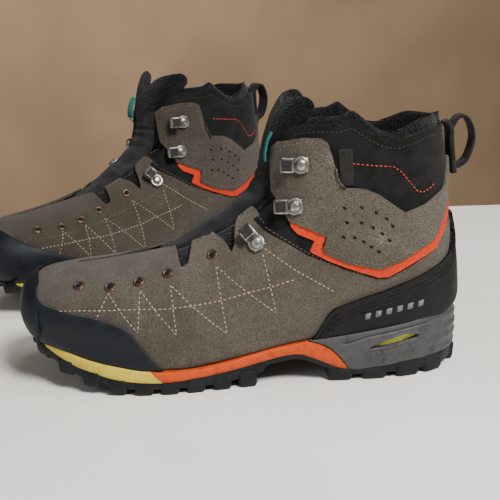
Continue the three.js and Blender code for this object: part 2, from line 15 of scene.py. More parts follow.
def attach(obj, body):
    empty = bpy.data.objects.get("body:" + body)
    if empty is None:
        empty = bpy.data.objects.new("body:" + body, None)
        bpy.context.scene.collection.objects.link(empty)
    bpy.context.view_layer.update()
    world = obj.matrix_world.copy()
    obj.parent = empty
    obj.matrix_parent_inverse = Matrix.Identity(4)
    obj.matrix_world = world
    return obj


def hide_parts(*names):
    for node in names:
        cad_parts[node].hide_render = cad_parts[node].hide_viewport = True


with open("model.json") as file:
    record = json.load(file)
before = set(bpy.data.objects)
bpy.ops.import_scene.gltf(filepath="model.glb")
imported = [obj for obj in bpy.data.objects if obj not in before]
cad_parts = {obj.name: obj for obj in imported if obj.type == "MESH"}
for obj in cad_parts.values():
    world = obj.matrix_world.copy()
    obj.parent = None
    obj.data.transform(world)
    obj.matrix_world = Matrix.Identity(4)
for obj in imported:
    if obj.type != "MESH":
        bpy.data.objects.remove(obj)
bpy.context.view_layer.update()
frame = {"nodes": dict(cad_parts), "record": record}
MM = 0.001
OUTER, INNER = 1, -1
SIDES = (("outer", OUTER), ("inner", INNER))
CLOSED = 0.001  # scale of a ring that closes a form to a point

# ---------------------------------------------------------------- sizes in millimetres
SUEDE_WALL, PANEL_WALL, SOFTSHELL_WALL, TRIM_WALL, SOCK_WALL = 1.8, 1.9, 1.8, 1.2, 2.2
TOE_WALL, HEEL_WALL = 2.2, 2.0
PANEL_LIFT, TRIM_LIFT, LABEL_LIFT, SOCK_LIFT = 2.1, 1.3, 0.9, -3.5
FLARE_OVERLAP = 2.6
TREAD_DEPTH, ARCH_TREAD, TREAD_PITCH = 4.2, 3.4, 17.5
HEEL_LUGS, HEEL_LUG_ROW = (66, 90, 114, 134), (78, 102, 126)
LOOP_WIDTH, LOOP_THICKNESS, TAB_WIDTH, TAB_THICKNESS = 13, 2.4, 14.5, 4.2
PLATE_WIDTH, PLATE_THICKNESS, FOLD_HEIGHT = 9.4, 1.3, 7.2
PAD_PRESSURE, TONGUE_CAP, RIM_CAP = 4.0, 1.0, 1.2
TERRY_FROM = 158  # height above which the tongue is fleecy


# ---------------------------------------------------------------- the last
# front x, z | back x, z | outer, inner half width | centre y | fullness front, back | lean
LAST = np.array([
    [-146, 45, -138, 34, 14, 14, 6, 0.75, 0.75, 0],
    [-150, 57, -130, 27, 30, 30, 6, 0.75, 0.7, 0],
    [-146, 68, -114, 20, 39, 38, 5, 0.85, 0.5, 0.03],
    [-134, 75, -98, 16, 45, 43, 4, 0.95, 0.4, 0.05],
    [-116, 79, -82, 14, 49, 46, 3, 1, 0.36, 0.07],
    [-94, 82, -64, 13, 51, 48, 2, 1.05, 0.34, 0.1],
    [-72, 86, -44, 13, 51, 48, 1, 1.1, 0.34, 0.12],
    [-50, 92, -20, 16, 49, 46, 0, 1.15, 0.34, 0.12],
    [-28, 101, 5, 20, 46, 43, 0, 1.1, 0.36, 0.12],
    [-8, 111, 32, 25, 43, 41, 0, 0.95, 0.38, 0.1],
    [7, 121, 62, 28.5, 41, 40, 0, 0.75, 0.4, 0.06],
    [14, 129, 94, 31, 40, 39, 0, 0.62, 0.44, 0.02],
    [18, 136, 126, 33.5, 40, 39, 0, 0.52, 0.5, 0],
    [20, 142, 149, 47, 40, 39, 0, 0.48, 0.62, 0],
    [21, 148, 151, 70, 39, 38, 0, 0.45, 0.72, -0.02],
    [22, 154, 148, 97, 38, 38, 0, 0.43, 0.8, -0.03],
    [23, 160, 144, 120, 37, 37, 0, 0.42, 0.84, -0.04],
    [25, 168, 143, 142, 37, 37, 0, 0.42, 0.84, -0.04],
    [28, 178, 140, 162, 37, 37, 0, 0.42, 0.84, -0.03],
    [32, 192, 137, 184, 38, 38, 0, 0.42, 0.84, -0.02],
], float)
TOP_RING = len(LAST) - 1
TONGUE_TIP = [36, 206, 134, 206, 38, 38, 0, 0.42, 0.84, -0.02]


def ring(s):
    """Catmull-Rom interpolation of every column of the last at ring number s."""
    s = np.clip(np.asarray(s, float), 0, TOP_RING + 1)
    i = np.minimum(s.astype(int), TOP_RING)
    t = (s - i)[..., None]
    rows = np.vstack([2 * LAST[0] - LAST[1], LAST, TONGUE_TIP, 2 * np.array(TONGUE_TIP) - LAST[-1]])
    a, b, c, d = rows[i], rows[i + 1], rows[i + 2], rows[i + 3]
    return 0.5 * (2 * b + (c - a) * t + (2 * a - 5 * b + 4 * c - d) * t**2 + (3 * b - a - 3 * c + d) * t**3)


def last_point(s, angle):
    """Point on ring s: share c = (1 - cos angle) / 2 of the way from its front to its back point,
    and half width * sin(angle) ** fullness to the side; positive angles are the outer side."""
    s, angle = np.broadcast_arrays(np.asarray(s, float), np.asarray(angle, float))
    r = ring(s)
    c = (1 - np.cos(angle)) / 2
    fullness = r[..., 7] + (r[..., 8] - r[..., 7]) * c
    half = np.where(angle >= 0, r[..., 4], r[..., 5])
    width = half * np.abs(np.sin(angle)) ** fullness * (1 + r[..., 9] * (2 * c - 1))
    x = r[..., 0] + (r[..., 2] - r[..., 0]) * c
    z = r[..., 1] + (r[..., 3] - r[..., 1]) * c
    return np.stack([x, r[..., 6] - np.sign(angle) * width, z], -1)


def last_normal(s, angle):
    """Outward unit normal of the last, from the two tangents."""
    s, angle = np.broadcast_arrays(np.asarray(s, float), np.asarray(angle, float))
    along = last_point(np.minimum(s + 0.05, TOP_RING + 1), angle) - last_point(np.maximum(s - 0.05, 0), angle)
    around = last_point(s, angle + 0.05) - last_point(s, angle - 0.05)
    out = np.cross(around, along)
    return out / (np.linalg.norm(out, axis=-1, keepdims=True) + 1e-9)


def skin(spots, offset=0.0):
    """Points on the last at (..., 2) spots of ring and angle, moved out by offset."""
    s, angle = spots[..., 0], spots[..., 1]
    return last_point(s, angle) + last_normal(s, angle) * np.asarray(offset)[..., None]


def spots_at(x, z, flank=OUTER):
    """Ring and angle of the last under side-view points: each ring is a straight line in side view,
    so the ring is found by halving and the angle from the share of the way along it."""
    x, z = np.asarray(x, float), np.asarray(z, float)
    low, high = np.zeros_like(x), np.full_like(x, TOP_RING)
    for _ in range(36):
        middle = (low + high) / 2
        r = ring(middle)
        short = (x - r[..., 0]) * (r[..., 3] - r[..., 1]) - (z - r[..., 1]) * (r[..., 2] - r[..., 0]) < 0
        low, high = np.where(short, middle, low), np.where(short, high, middle)
    r = ring(low)
    run = r[..., 2:4] - r[..., 0:2]
    c = ((x - r[..., 0]) * run[..., 0] + (z - r[..., 1]) * run[..., 1]) / (run**2).sum(-1)
    return np.stack([low, flank * np.arccos(np.clip(1 - 2 * c, -1, 1))], -1)


# ---------------------------------------------------------------- lines
def rounded(points, times=2):
    """Corner cutting: each pass replaces a corner by points a quarter of the way along its edges."""
    p = np.asarray(points, float)
    for _ in range(times):
        q = 0.75 * p[:-1] + 0.25 * p[1:]
        r = 0.25 * p[:-1] + 0.75 * p[1:]
        p = np.vstack([p[:1], np.stack([q, r], 1).reshape(-1, p.shape[1]), p[-1:]])
    return p


def spaced(points, count):
    """The polyline's points at count equal steps of its length."""
    p = np.asarray(points, float)
    reach = np.concatenate([[0], np.cumsum(np.linalg.norm(np.diff(p, axis=0), axis=1))])
    wanted = np.linspace(0, reach[-1], count)
    return np.stack([np.interp(wanted, reach, p[:, k]) for k in range(p.shape[1])], -1)


def spline(points, count, closed=False):
    """Catmull-Rom curve through the points, at count equal steps of its length."""
    p = np.asarray(points, float)
    if closed:
        p = np.vstack([p[-1:], p, p[:2]])
    else:
        p = np.vstack([2 * p[0] - p[1], p, 2 * p[-1] - p[-2]])
    t = np.linspace(0, 1, 12, endpoint=False)[:, None]
    parts = []
    for a, b, c, d in zip(p[:-3], p[1:-2], p[2:-1], p[3:]):
        parts.append(0.5 * (2 * b + (c - a) * t + (2 * a - 5 * b + 4 * c - d) * t**2
                            + (3 * b - a - 3 * c + d) * t**3))
    parts.append(p[-2:-1])
    return spaced(np.vstack(parts), count)


def line_at(line, x):
    """Height of a line of (x, z) points at x."""
    line = np.asarray(line, float)
    return np.interp(x, line[:, 0], line[:, 1])


def smooth_line(points, count=200):
    """A line of (x, z) points with its corners rounded, for use with line_at."""
    return spaced(rounded(points, 3), count)


def step(low, high, x):
    """0 below low, 1 above high and a smooth rise between."""
    t = np.clip((x - low) / (high - low), 0, 1)
    return t * t * (3 - 2 * t)


# ---------------------------------------------------------------- meshes
def grid_faces(rows, columns, wrap=False, first=0):
    """Quads of a grid of vertices numbered row by row, its columns closed into a ring if wrap is set."""
    i, j = np.meshgrid(np.arange(rows - 1), np.arange(columns if wrap else columns - 1), indexing="ij")
    i2, j2 = i + 1, (j + 1) % columns
    quads = np.stack([i * columns + j, i2 * columns + j, i2 * columns + j2, i * columns + j2], -1)
    return quads.reshape(-1, 4) + first


class Boot:
    """One boot: its place in the shared frame, its bodies and the pieces made for it."""

    def __init__(self, name, origin, yaw, flip):
        self.name = name
        self.flip = flip
        self.matrix = Matrix.Translation(origin) @ Matrix.Rotation(yaw, 4, "Z")

    def place(self, points):
        """Millimetre points of this boot in the shared frame, in metres."""
        p = np.asarray(points, float).reshape(-1, 3) * MM
        if self.flip:
            p = p * [1, -1, 1]
        m = np.array(self.matrix)
        return p @ m[:3, :3].T + m[:3, 3]

    def piece(self, name, points, quads, material, body="boot", sides=None, replaces=(), slot=None):
        """A mesh object of this boot, its faces outwards on both boots, riding on one of its bodies."""
        quads = np.asarray(quads, int)
        if self.flip:
            quads = quads[:, ::-1]
        mesh = bpy.data.meshes.new(f"{self.name}_{name}")
        mesh.from_pydata(self.place(points).tolist(), [], quads.tolist())
        if sides is not None:
            flat = np.asarray(sides, float).reshape(-1, 2) * MM
            layer = mesh.uv_layers.new(name="side")
            layer.data.foreach_set("uv", flat[quads.ravel()].ravel())
        mesh.polygons.foreach_set("use_smooth", np.full(len(mesh.polygons), True))
        mesh.materials.append(material)
        mesh.update()
        obj = bpy.data.objects.new(f"{self.name}_{name}", mesh)
        bpy.context.scene.collection.objects.link(obj)
        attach(obj, f"{self.name}_{body}")
        if replaces:
            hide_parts(*[f"{self.name}_{node}" for node in replaces])
        return obj


def bevel(obj, width, segments=2, angle=55):
    """Rounds the piece's sharp edges."""
    modifier = obj.modifiers.new("rolled_edge", "BEVEL")
    modifier.width = width * MM
    modifier.segments = segments
    modifier.limit_method = "ANGLE"
    modifier.angle_limit = math.radians(angle)
    modifier.harden_normals = False
    return obj


def slab(boot, name, top, bottom, material, sides=None, roll=0.5, segments=2, **rest):
    """A closed sheet from two grids of the same shape, joined round their rims, with rolled edges."""
    rows, columns = top.shape[:2]
    count = rows * columns
    index = np.arange(count).reshape(rows, columns)
    rim = np.concatenate([index[0, :-1], index[:-1, -1], index[-1, :0:-1], index[:0:-1, 0]])
    after = np.roll(rim, -1)
    wall = np.stack([rim, after, after + count, rim + count], -1)
    upper = grid_faces(rows, columns)
    lower = grid_faces(rows, columns, first=count)[:, ::-1]
    points = np.concatenate([top.reshape(-1, 3), bottom.reshape(-1, 3)])
    if sides is None:
        sides = top[..., [0, 2]]
    both = np.concatenate([sides.reshape(-1, 2)] * 2)
    quads = np.concatenate([upper, wall, lower])
    if volume(points, quads) < 0:
        quads = quads[:, ::-1]
    obj = boot.piece(name, points, quads, material, sides=both, **rest)
    return bevel(obj, roll, segments) if roll else obj


def volume(points, quads):
    """Signed volume of a closed quad mesh."""
    a, b, c, d = (points[quads[:, k]] for k in range(4))
    return (np.cross(b, c) * a).sum() / 6 + (np.cross(c, d) * a).sum() / 6


def between(low, high, rows):
    """Grid of spots from the low edge line to the high one, both (n, 2)."""
    v = np.linspace(0, 1, rows)[:, None, None]
    return low[None] * (1 - v) + high[None] * v


# ---------------------------------------------------------------- shader kit
class Socket:
    """A node output that Python operators act on by adding Math nodes."""

    def __init__(self, tree, link):
        self.tree, self.link = tree, link

    def math(self, operation, other=0.0):
        return self.tree.node("ShaderNodeMath", dict(operation=operation), {0: self, 1: other})

    def __add__(self, other):
        return self.math("ADD", other)

    def __sub__(self, other):
        return self.math("SUBTRACT", other)

    def __mul__(self, other):
        return self.math("MULTIPLY", other)

    __radd__, __rmul__ = __add__, __mul__

    def sin(self):
        return self.math("SINE")

    def ramp(self, low, high, start=0.0, end=1.0):
        """start below low, end above high, smooth between."""
        return self.tree.node("ShaderNodeMapRange", dict(interpolation_type="SMOOTHSTEP"),
                              {0: self, 1: low, 2: high, 3: start, 4: end})


class Finish:
    """One material: its node tree with a Principled shader."""

    def __init__(self, name, **sockets):
        self.material = bpy.data.materials.new(name)
        self.material.use_nodes = True
        self.nodes = self.material.node_tree.nodes
        self.links = self.material.node_tree.links
        self.shader = self.nodes["Principled BSDF"]
        for socket, value in sockets.items():
            self.set(socket.replace("_", " "), value)

    def node(self, kind, settings=None, inputs=None, output=0):
        """A node of the kind, its settings first and then the values or links of its sockets."""
        made = self.nodes.new(kind)
        for key, value in (settings or {}).items():
            setattr(made, key, value)
        for key, value in (inputs or {}).items():
            if isinstance(value, Socket):
                self.links.new(value.link, made.inputs[key])
            else:
                made.inputs[key].default_value = value
        return Socket(self, made.outputs[output])

    def set(self, socket, value):
        if isinstance(value, Socket):
            self.links.new(value.link, self.shader.inputs[socket])
        else:
            if isinstance(value, tuple) and len(value) == 3:
                value = (*value, 1.0)
            self.shader.inputs[socket].default_value = value
        return self

    def spot(self):
        return self.node("ShaderNodeTexCoord", output="Object")

    def split(self, vector):
        made = self.nodes.new("ShaderNodeSeparateXYZ")
        self.links.new(vector.link, made.inputs[0])
        return [Socket(self, made.outputs[k]) for k in range(3)]

    def side(self):
        """The piece's own side view: metres along and up the boot."""
        return self.node("ShaderNodeUVMap", dict(uv_map="side"))

    def noise(self, scale, detail=3.0, roughness=0.55, distortion=0.0):
        return self.node("ShaderNodeTexNoise", {}, {"Vector": self.spot(), "Scale": scale, "Detail": detail,
                                                    "Roughness": roughness, "Distortion": distortion})

    def cells(self, scale):
        return self.node("ShaderNodeTexVoronoi", {}, {"Vector": self.spot(), "Scale": scale})

    def mix(self, share, first, second):
        """Colour mix: first at share 0, second at share 1."""
        made = self.nodes.new("ShaderNodeMix")
        made.data_type = "RGBA"
        for index, value in ((0, share), (6, first), (7, second)):
            if isinstance(value, Socket):
                self.links.new(value.link, made.inputs[index])
            else:
                made.inputs[index].default_value = (*value, 1.0) if isinstance(value, tuple) else value
        return Socket(self, made.outputs[2])

    def bump(self, height, distance, strength=1.0):
        return self.set("Normal", self.node("ShaderNodeBump", {}, {"Height": height, "Distance": distance,
                                                                   "Strength": strength}))


def srgb(red, green, blue):
    """Linear colour of an sRGB one given in 0 to 255."""
    c = np.array([red, green, blue]) / 255
    return tuple(float(v) for v in np.where(c <= 0.04045, c / 12.92, ((c + 0.055) / 1.055) ** 2.4))


# ---------------------------------------------------------------- outlines, side view x, z unless said
SOLE_PLAN = [  # x, y
    (-152, 6), (-147, -10), (-138, -23), (-126, -34), (-110, -43), (-90, -49.5), (-65, -52), (-40, -51),
    (-12, -46.5), (20, -41.5), (50, -39.5), (85, -39), (112, -36), (133, -28), (147, -15), (153, 0),
    (147, 15), (133, 28), (112, 36), (85, 38), (50, 37.5), (20, 39), (-12, 43.5), (-40, 48),
    (-65, 51), (-90, 51.5), (-110, 48), (-126, 42), (-138, 33), (-147, 20),
]
SOLE_LINE = [
    (-156, 40), (-147, 36.5), (-132, 28), (-113, 19), (-98, 15), (-83, 10.5), (-57, 8), (-29, 10.5),
    (-12, 12.5), (11, 17), (28, 20.5), (39, 21), (52, 15), (66, 8.5), (77, 7.5), (98, 9.5), (117, 12),
    (160, 12.5),
]
FEATHER_LINE = [
    (-156, 43), (-132, 34.5), (-113, 28), (-97, 24), (-82, 21.5), (-65, 18), (-47, 17), (-29, 17.5),
    (-11, 20), (11, 25), (41, 30.5), (62, 32), (84, 35), (110, 39), (132, 43), (160, 44),
]
SUEDE_FOOT = [
    (-149, 61), (-140, 59), (-122, 54), (-112, 50), (-97, 47), (-86, 44), (-78, 41), (-70, 30), (-62, 19),
    (-47, 15.5), (-42, 15.5), (-29, 16), (-11, 18), (11, 23), (15, 24), (41, 29), (50, 31), (60, 40),
    (79, 49), (99, 55), (120, 63), (138, 72), (148, 80), (162, 84),
]
RAND_FOOT = [(-160, 39), (-146, 37), (-132, 31), (-113, 25), (-97, 21), (-82, 18), (-65, 15), (-50, 12)]
HEEL_PATCH_FOOT = [(44, 27), (62, 29), (84, 32), (110, 36), (132, 40), (165, 41)]
COLLAR_FOOT = [
    (9, 112), (15, 106), (30, 98), (43, 90), (57, 84), (69, 79), (90, 72), (97, 72), (108, 77), (128, 88),
    (140, 104), (162, 112),
]
TOE_JOINT, ARCH_FRONT = [(-54, 8), (-62, 17)], [(-53.6, 8), (-61.6, 17)]
ARCH_BACK = [(72, 8), (66, 16), (58, 24), (44, 31)]
FRAME_FRONT = [(72.6, 8), (66.6, 16), (58.6, 24), (44.6, 31)]
SCALLOPS = [
    (-42, 82.5), (-38, 83), (-35, 85), (-32, 97), (-26, 101), (-19, 102.5), (-11, 99), (-6, 92), (-4.5, 96),
    (-3, 108), (2, 117), (8, 120.5), (15, 113),
]
QUARTER_TOP = [
    (15, 113), (30, 104), (43, 96), (57, 88.5), (69, 83), (90, 75.5), (97, 75.5), (108, 81), (128, 91),
    (136, 104), (141, 118), (162, 124),
]
COLLAR_RIM = [
    (26, 166), (36, 174), (50, 175), (64, 175), (72, 178), (84, 170), (93, 165), (102, 163.5), (112, 166),
    (124, 170), (160, 171),
]
PANEL_FOOT = [
    (22, 131), (32, 112), (42, 108), (56, 102), (53, 92), (69, 84), (92, 79), (108, 85), (129, 96),
    (136, 109), (141, 120), (160, 128),
]
PANEL_HEAD = [
    (22, 131), (23, 158), (27, 163), (40, 166), (52, 166), (57, 163), (60, 154), (63, 141), (67, 134),
    (81, 133), (90, 129), (102, 120), (108, 116), (122, 120), (137, 128), (142, 148), (160, 150),
]
TRIM_FOOT = [
    (33, 108.5), (37, 104), (48, 99.5), (44.5, 92.5), (57, 86), (69, 81), (90, 73.5), (97, 73.5), (109, 79.5),
    (130, 89.5), (138, 102), (143, 116), (160, 123),
]
RAND_TOP_OUTER = [
    (-150, 74), (-135, 74), (-136, 66), (-133, 60.5), (-122, 58.5), (-110, 56), (-97, 54.5), (-86, 51.5),
    (-78, 48.5), (-74, 45.5), (-68, 34.5), (-57, 21), (-50, 14),
]
RAND_TOP_INNER = [
    (-150, 74), (-135, 74), (-132, 70), (-124, 65), (-112, 59), (-101, 54), (-90, 49.5), (-79, 46.5),
    (-66, 43), (-58, 40), (-52, 32), (-47, 23), (-43, 14),
]
HEEL_PATCH_TOP = [
    (45, 30.5), (50, 37), (59, 51), (63, 53), (79, 59), (99, 65), (121, 74), (138, 81), (144, 90), (146, 116),
    (162, 118),
]
LOOP_PATH = [
    (145.5, 160), (146.0, 166), (151, 174), (157.5, 172), (161.5, 160), (158, 146), (152, 140.5),
    (148.8, 140),
]
EYELETS = [(-108, 71.3), (-87, 71), (-68, 74), (-48.7, 79), (-19, 90)]
THROAT_PLAN = [
    (-112, 0), (-100, 1.0), (-80, 2.5), (-60, 5.5), (-44, 11), (-30, 14), (6, 15), (14, 18), (20, 24),
    (34, 24),
]


def throat_angle(s, flank):
    """Angle on ring s where the throat's half gap meets the flank, found by repeated substitution."""
    s = np.asarray(s, float)
    r = ring(s)
    angle = np.full(s.shape, 0.4)
    plan = np.array(THROAT_PLAN, float)
    for _ in range(12):
        c = (1 - np.cos(angle)) / 2
        x = r[..., 0] + (r[..., 2] - r[..., 0]) * c
        gap = np.interp(x, plan[:, 0], plan[:, 1])
        half = np.where(flank == OUTER, r[..., 4], r[..., 5]) * (1 + r[..., 9] * (2 * c - 1))
        fullness = r[..., 7] + (r[..., 8] - r[..., 7]) * c
        share = np.clip((gap + flank * r[..., 6]) / half, 0, 0.98)
        angle = 0.5 * angle + 0.5 * np.arcsin(share ** (1 / fullness))
    return np.where(angle < 0.03, 0, angle)


def edge(line, flank, count, throat=False):
    """Spots along a side-view line, at equal steps over the surface, kept out of the throat if asked."""
    p = spaced(line, 500)
    spots = spots_at(p[:, 0], p[:, 1], flank)
    if throat:
        least = throat_angle(spots[:, 0], flank)
        spots[:, 1] = flank * np.maximum(np.abs(spots[:, 1]), least)
    return even(spots, count)


def even(spots, count):
    """A run of spots at equal steps of its length in space."""
    reach = np.concatenate([[0], np.cumsum(np.linalg.norm(np.diff(skin(spots), axis=0), axis=1))])
    wanted = np.linspace(0, reach[-1], count)
    return np.stack([np.interp(wanted, reach, spots[:, k]) for k in range(2)], -1)


def runs(*pieces):
    """Edges joined end to end."""
    return np.concatenate([piece if k == 0 else piece[1:] for k, piece in enumerate(pieces)])


def sole_reach():
    """How far the sole's outline stands out from the last at the feather line, for each of its places:
    the plan distance to the nearest of many points of the last at that height, smoothed."""
    s, angle = np.meshgrid(np.linspace(0, 17, 700), np.linspace(-math.pi, math.pi, 500), indexing="ij")
    at = last_point(s, angle).reshape(-1, 3)
    at = at[np.abs(at[:, 2] - line_at(FEATHER_LINE, at[:, 0])) < 0.7][:, :2]
    far = np.sqrt(((SOLE_EDGE[::6, None] - at[None]) ** 2).sum(-1).min(1))
    far = np.convolve(np.concatenate([far[-6:], far, far[:6]]), np.ones(13) / 13, "valid")
    return np.interp(np.arange(len(SOLE_EDGE)), np.arange(0, len(SOLE_EDGE), 6), far)


def flared(at, reach=16.0):
    """Draws the foot of a sheet out to the sole's edge: a point moves along the outline's normal by the
    reach of the sole there, fading with the square of its height over the feather line."""
    spot = at[..., :2]
    middle = SOLE_EDGE[::4]
    near = np.empty(at.shape[:2], int)
    for k, row in enumerate(spot):
        near[k] = 4 * np.argmin(((row[:, None] - middle[None]) ** 2).sum(-1), axis=1)
    height = at[..., 2] - line_at(FEATHER_LINE, at[..., 0])
    fade = np.clip(1 - height / reach, 0, 1) ** 2
    push = np.maximum(SOLE_REACH[near] - FLARE_OVERLAP, 0) * fade
    push = np.stack([np.convolve(np.pad(row, 4, "edge"), np.ones(9) / 9, "valid") for row in push])
    moved = at.copy()
    moved[..., :2] += SOLE_OUT[near] * push[..., None]
    return moved


def patch(boot, name, grids, offset, material, thickness, roll=0.5, flare=False,
          **rest):
    """One sheet on the last from grids of spots welded together, with a wall of the thickness inwards.
    offset is a number or one array for each grid."""
    points, quads, sides, first = [], [], [], 0
    for k, spots in enumerate(grids):
        rows, columns = spots.shape[:2]
        lift = offset[k] if isinstance(offset, list) else np.full((rows, columns), float(offset))
        at = skin(spots, lift)
        if flare:
            at = flared(at)
        faces = grid_faces(rows, columns)
        a, b, c, d = (at.reshape(-1, 3)[faces[:, n]] for n in range(4))
        out = last_normal(spots[..., 0], spots[..., 1]).reshape(-1, 3)[faces[:, 0]]
        if (np.cross(c - a, d - b) * out).sum() < 0:
            faces = faces[:, ::-1]
        points.append(at.reshape(-1, 3))
        quads.append(faces + first)
        sides.append(at[..., [0, 2]].reshape(-1, 2))
        first += rows * columns
    obj = boot.piece(name, np.concatenate(points), np.concatenate(quads), material,
                     sides=np.concatenate(sides), **rest)
    weld(obj)
    if thickness:
        wall = obj.modifiers.new("thickness", "SOLIDIFY")
        wall.thickness = thickness * MM
        wall.offset = -1
        wall.use_even_offset = False
    return bevel(obj, roll) if roll else obj


def weld(obj, reach=0.00003):
    """Joins the points of seams and poles."""
    work = bmesh.new()
    work.from_mesh(obj.data)
    bmesh.ops.remove_doubles(work, verts=work.verts, dist=reach)
    bmesh.ops.dissolve_degenerate(work, edges=work.edges, dist=reach / 3)
    work.to_mesh(obj.data)
    work.free()


# ---------------------------------------------------------------- finishes
def suede_finish():
    """Brushed suede: a fine speckled nap over soft clouds, browner towards the eyelets, with rubbed light
    patches, darker towards the toe, and painted shade that darkens the far boot as if the near boot shaded
    it."""
    f = Finish("suede", Roughness=0.95, Specular_IOR_Level=0.1, Sheen_Weight=0.12, Sheen_Roughness=0.5)
    clouds = f.noise(38, 5, 0.65)
    nap = f.noise(1300, 2, 0.6)
    flecks = f.noise(3800, 2, 0.7)
    grain = nap.ramp(0.36, 0.64) * 0.55 + flecks.ramp(0.36, 0.64) * 0.45
    cool = f.mix(grain, srgb(50, 46, 40), srgb(116, 108, 97))
    warm = f.mix(grain, srgb(56, 45, 34), srgb(118, 99, 77))
    x, _, z = f.split(f.side())
    high = z.ramp(0.052, 0.078) * x.ramp(-0.02, 0.03, 1.0, 0.0)
    colour = f.mix(high * 0.8, cool, warm)
    colour = f.mix(clouds.ramp(0.4, 0.66) * 0.45, colour, srgb(66, 58, 49))
    scuff = f.noise(24, 6, 0.75).ramp(0.56, 0.74) * nap.ramp(0.4, 0.6)
    colour = f.mix(scuff * 0.6, colour, srgb(152, 142, 127))
    toe = x.ramp(-0.15, 0.02, 0.3, 0.0)
    # painted shade: pieces beyond about y = -0.06, the far boot, are darkened towards a deep brown as if in
    # the near boot's shade
    wear_and_far_shade = f.split(f.spot())[1].ramp(-0.07, -0.05) * 0.45
    f.set("Base Color", f.mix(wear_and_far_shade, f.mix(toe, colour, srgb(44, 38, 31)), srgb(44, 36, 28)))
    f.bump(grain + clouds * 1.2, 0.0006, 0.7)
    return f.material


def rubber_finish(name, dark, light, gloss=0.42, grain=1500):
    """Moulded rubber with a fine grain, dusty haze and pale scuffs."""
    f = Finish(name, Specular_IOR_Level=0.25)
    haze = f.noise(60, 4, 0.6).ramp(0.35, 0.7)
    scratch = f.noise(240, 5, 0.75, distortion=0.6).ramp(0.6, 0.72)
    f.set("Base Color", f.mix(haze * 0.5 + scratch * 0.5, dark, light))
    f.set("Roughness", haze * 0.22 + gloss)
    f.bump(f.noise(grain, 2) + scratch * -0.4, 0.00025, 0.5)
    return f.material


def foam_finish(name, base, dirt):
    """Painted moulded foam: fine stipple, with grime that gathers in streaks."""
    f = Finish(name, Specular_IOR_Level=0.3)
    grime = f.noise(130, 5, 0.7).ramp(0.46, 0.72)
    speck = f.noise(900, 2).ramp(0.55, 0.75)
    f.set("Base Color", f.mix(grime * 0.6 + speck * 0.25, base, dirt))
    f.set("Roughness", grime * 0.2 + 0.55)
    f.bump(f.noise(1300, 2), 0.0002, 0.5)
    return f.material


def cloth_finish(name, dark, light, pitch=0.0011, depth=0.0003, twill=0.0):
    """Woven cloth on the side-view map: crossed threads of the pitch, slanted rows when twill is set."""
    f = Finish(name, Roughness=0.9, Specular_IOR_Level=0.15, Sheen_Weight=0.05, Sheen_Roughness=0.5)
    x, y, _ = f.split(f.side())
    turn = 2 * math.pi / pitch
    if twill:
        weave = ((x + y) * turn).sin() * 0.5 + 0.5
        fine = ((x - y) * (turn * 2.1)).sin() * 0.5 + 0.5
        height = weave * 0.7 + fine * 0.3
    else:
        height = ((x * turn).sin() * (y * turn).sin()) * 0.5 + 0.5
    tone = f.noise(90, 3).ramp(0.35, 0.65) * 0.5 + height * 0.5
    f.set("Base Color", f.mix(tone, dark, light))
    f.bump(height + f.noise(1500, 2) * 0.5, depth, 0.7)
    return f.material


def terry_finish(name, dark, light):
    """Looped pile: small round tufts standing close together."""
    f = Finish(name, Roughness=1.0, Specular_IOR_Level=0.1, Sheen_Weight=0.12, Sheen_Roughness=0.4)
    tufts = f.cells(620)
    fuzz = f.noise(1900, 3, 0.7)
    f.set("Base Color", f.mix(tufts.ramp(0.1, 0.75) * 0.7 + fuzz.ramp(0.4, 0.7) * 0.4, light, dark))
    f.bump(tufts * -1.0 + fuzz * 0.8, 0.0012, 0.9)
    return f.material


def metal_finish(name, base, wear_and_far_shade, rough=0.28):
    """Plated metal with fine brushing and duller worn patches."""
    f = Finish(name, Metallic=1.0)
    wear = f.noise(380, 4, 0.65).ramp(0.42, 0.68)
    f.set("Base Color", f.mix(wear, base, wear_and_far_shade))
    f.set("Roughness", wear * 0.25 + rough)
    f.bump(f.noise(2200, 2), 0.0001, 0.4)
    return f.material


def plain_finish(name, base, shade, rough=0.7):
    """A small part's finish: two close tones in fine mottling."""
    f = Finish(name, Roughness=rough, Specular_IOR_Level=0.3)
    f.set("Base Color", f.mix(f.noise(700, 3).ramp(0.35, 0.65), base, shade))
    f.bump(f.noise(1600, 2), 0.0002, 0.5)
    return f.material


SUEDE = suede_finish()
RAND = rubber_finish("rand_rubber", srgb(11, 15, 23), srgb(27, 33, 44), 0.46)
OUTSOLE = rubber_finish("outsole_rubber", srgb(13, 15, 18), srgb(42, 45, 49), 0.6, 1100)
HEEL_RUBBER = rubber_finish("heel_rubber", srgb(12, 12, 13), srgb(30, 30, 31), 0.55)
FRAME_GREY = foam_finish("frame_grey", srgb(68, 68, 69), srgb(44, 43, 42))
YELLOW = foam_finish("midsole_yellow", srgb(204, 182, 62), srgb(120, 100, 40))
ORANGE = foam_finish("midsole_orange", srgb(196, 68, 8), srgb(112, 48, 18))
LIME = foam_finish("cushion_lime", srgb(214, 215, 84), srgb(150, 150, 60))
TRIM = plain_finish("trim_orange", srgb(208, 52, 4), srgb(180, 40, 3), 0.65)
SOFTSHELL = cloth_finish("softshell", srgb(9, 9, 10), srgb(30, 30, 31), 0.0016, 0.0003, twill=1.0)
TERRY = terry_finish("terry_lining", srgb(8, 8, 9), srgb(34, 34, 37))
TONGUE_CLOTH = cloth_finish("tongue_fabric", srgb(22, 22, 24), srgb(52, 52, 54), 0.0013)
WEBBING = cloth_finish("webbing", srgb(16, 16, 17), srgb(44, 43, 42), 0.0022, 0.0005)
TEAL = cloth_finish("teal_webbing", srgb(20, 92, 88), srgb(54, 140, 130), 0.0016)
STEEL = metal_finish("hook_steel", srgb(168, 166, 158), srgb(108, 104, 96), 0.32)
COPPER = metal_finish("antique_copper", srgb(118, 90, 70), srgb(66, 50, 40), 0.38)
DARK_STEEL = metal_finish("eyelet_barrel", srgb(92, 92, 94), srgb(50, 50, 52), 0.4)
INSERT = plain_finish("hook_insert", srgb(20, 20, 21), srgb(44, 44, 44))
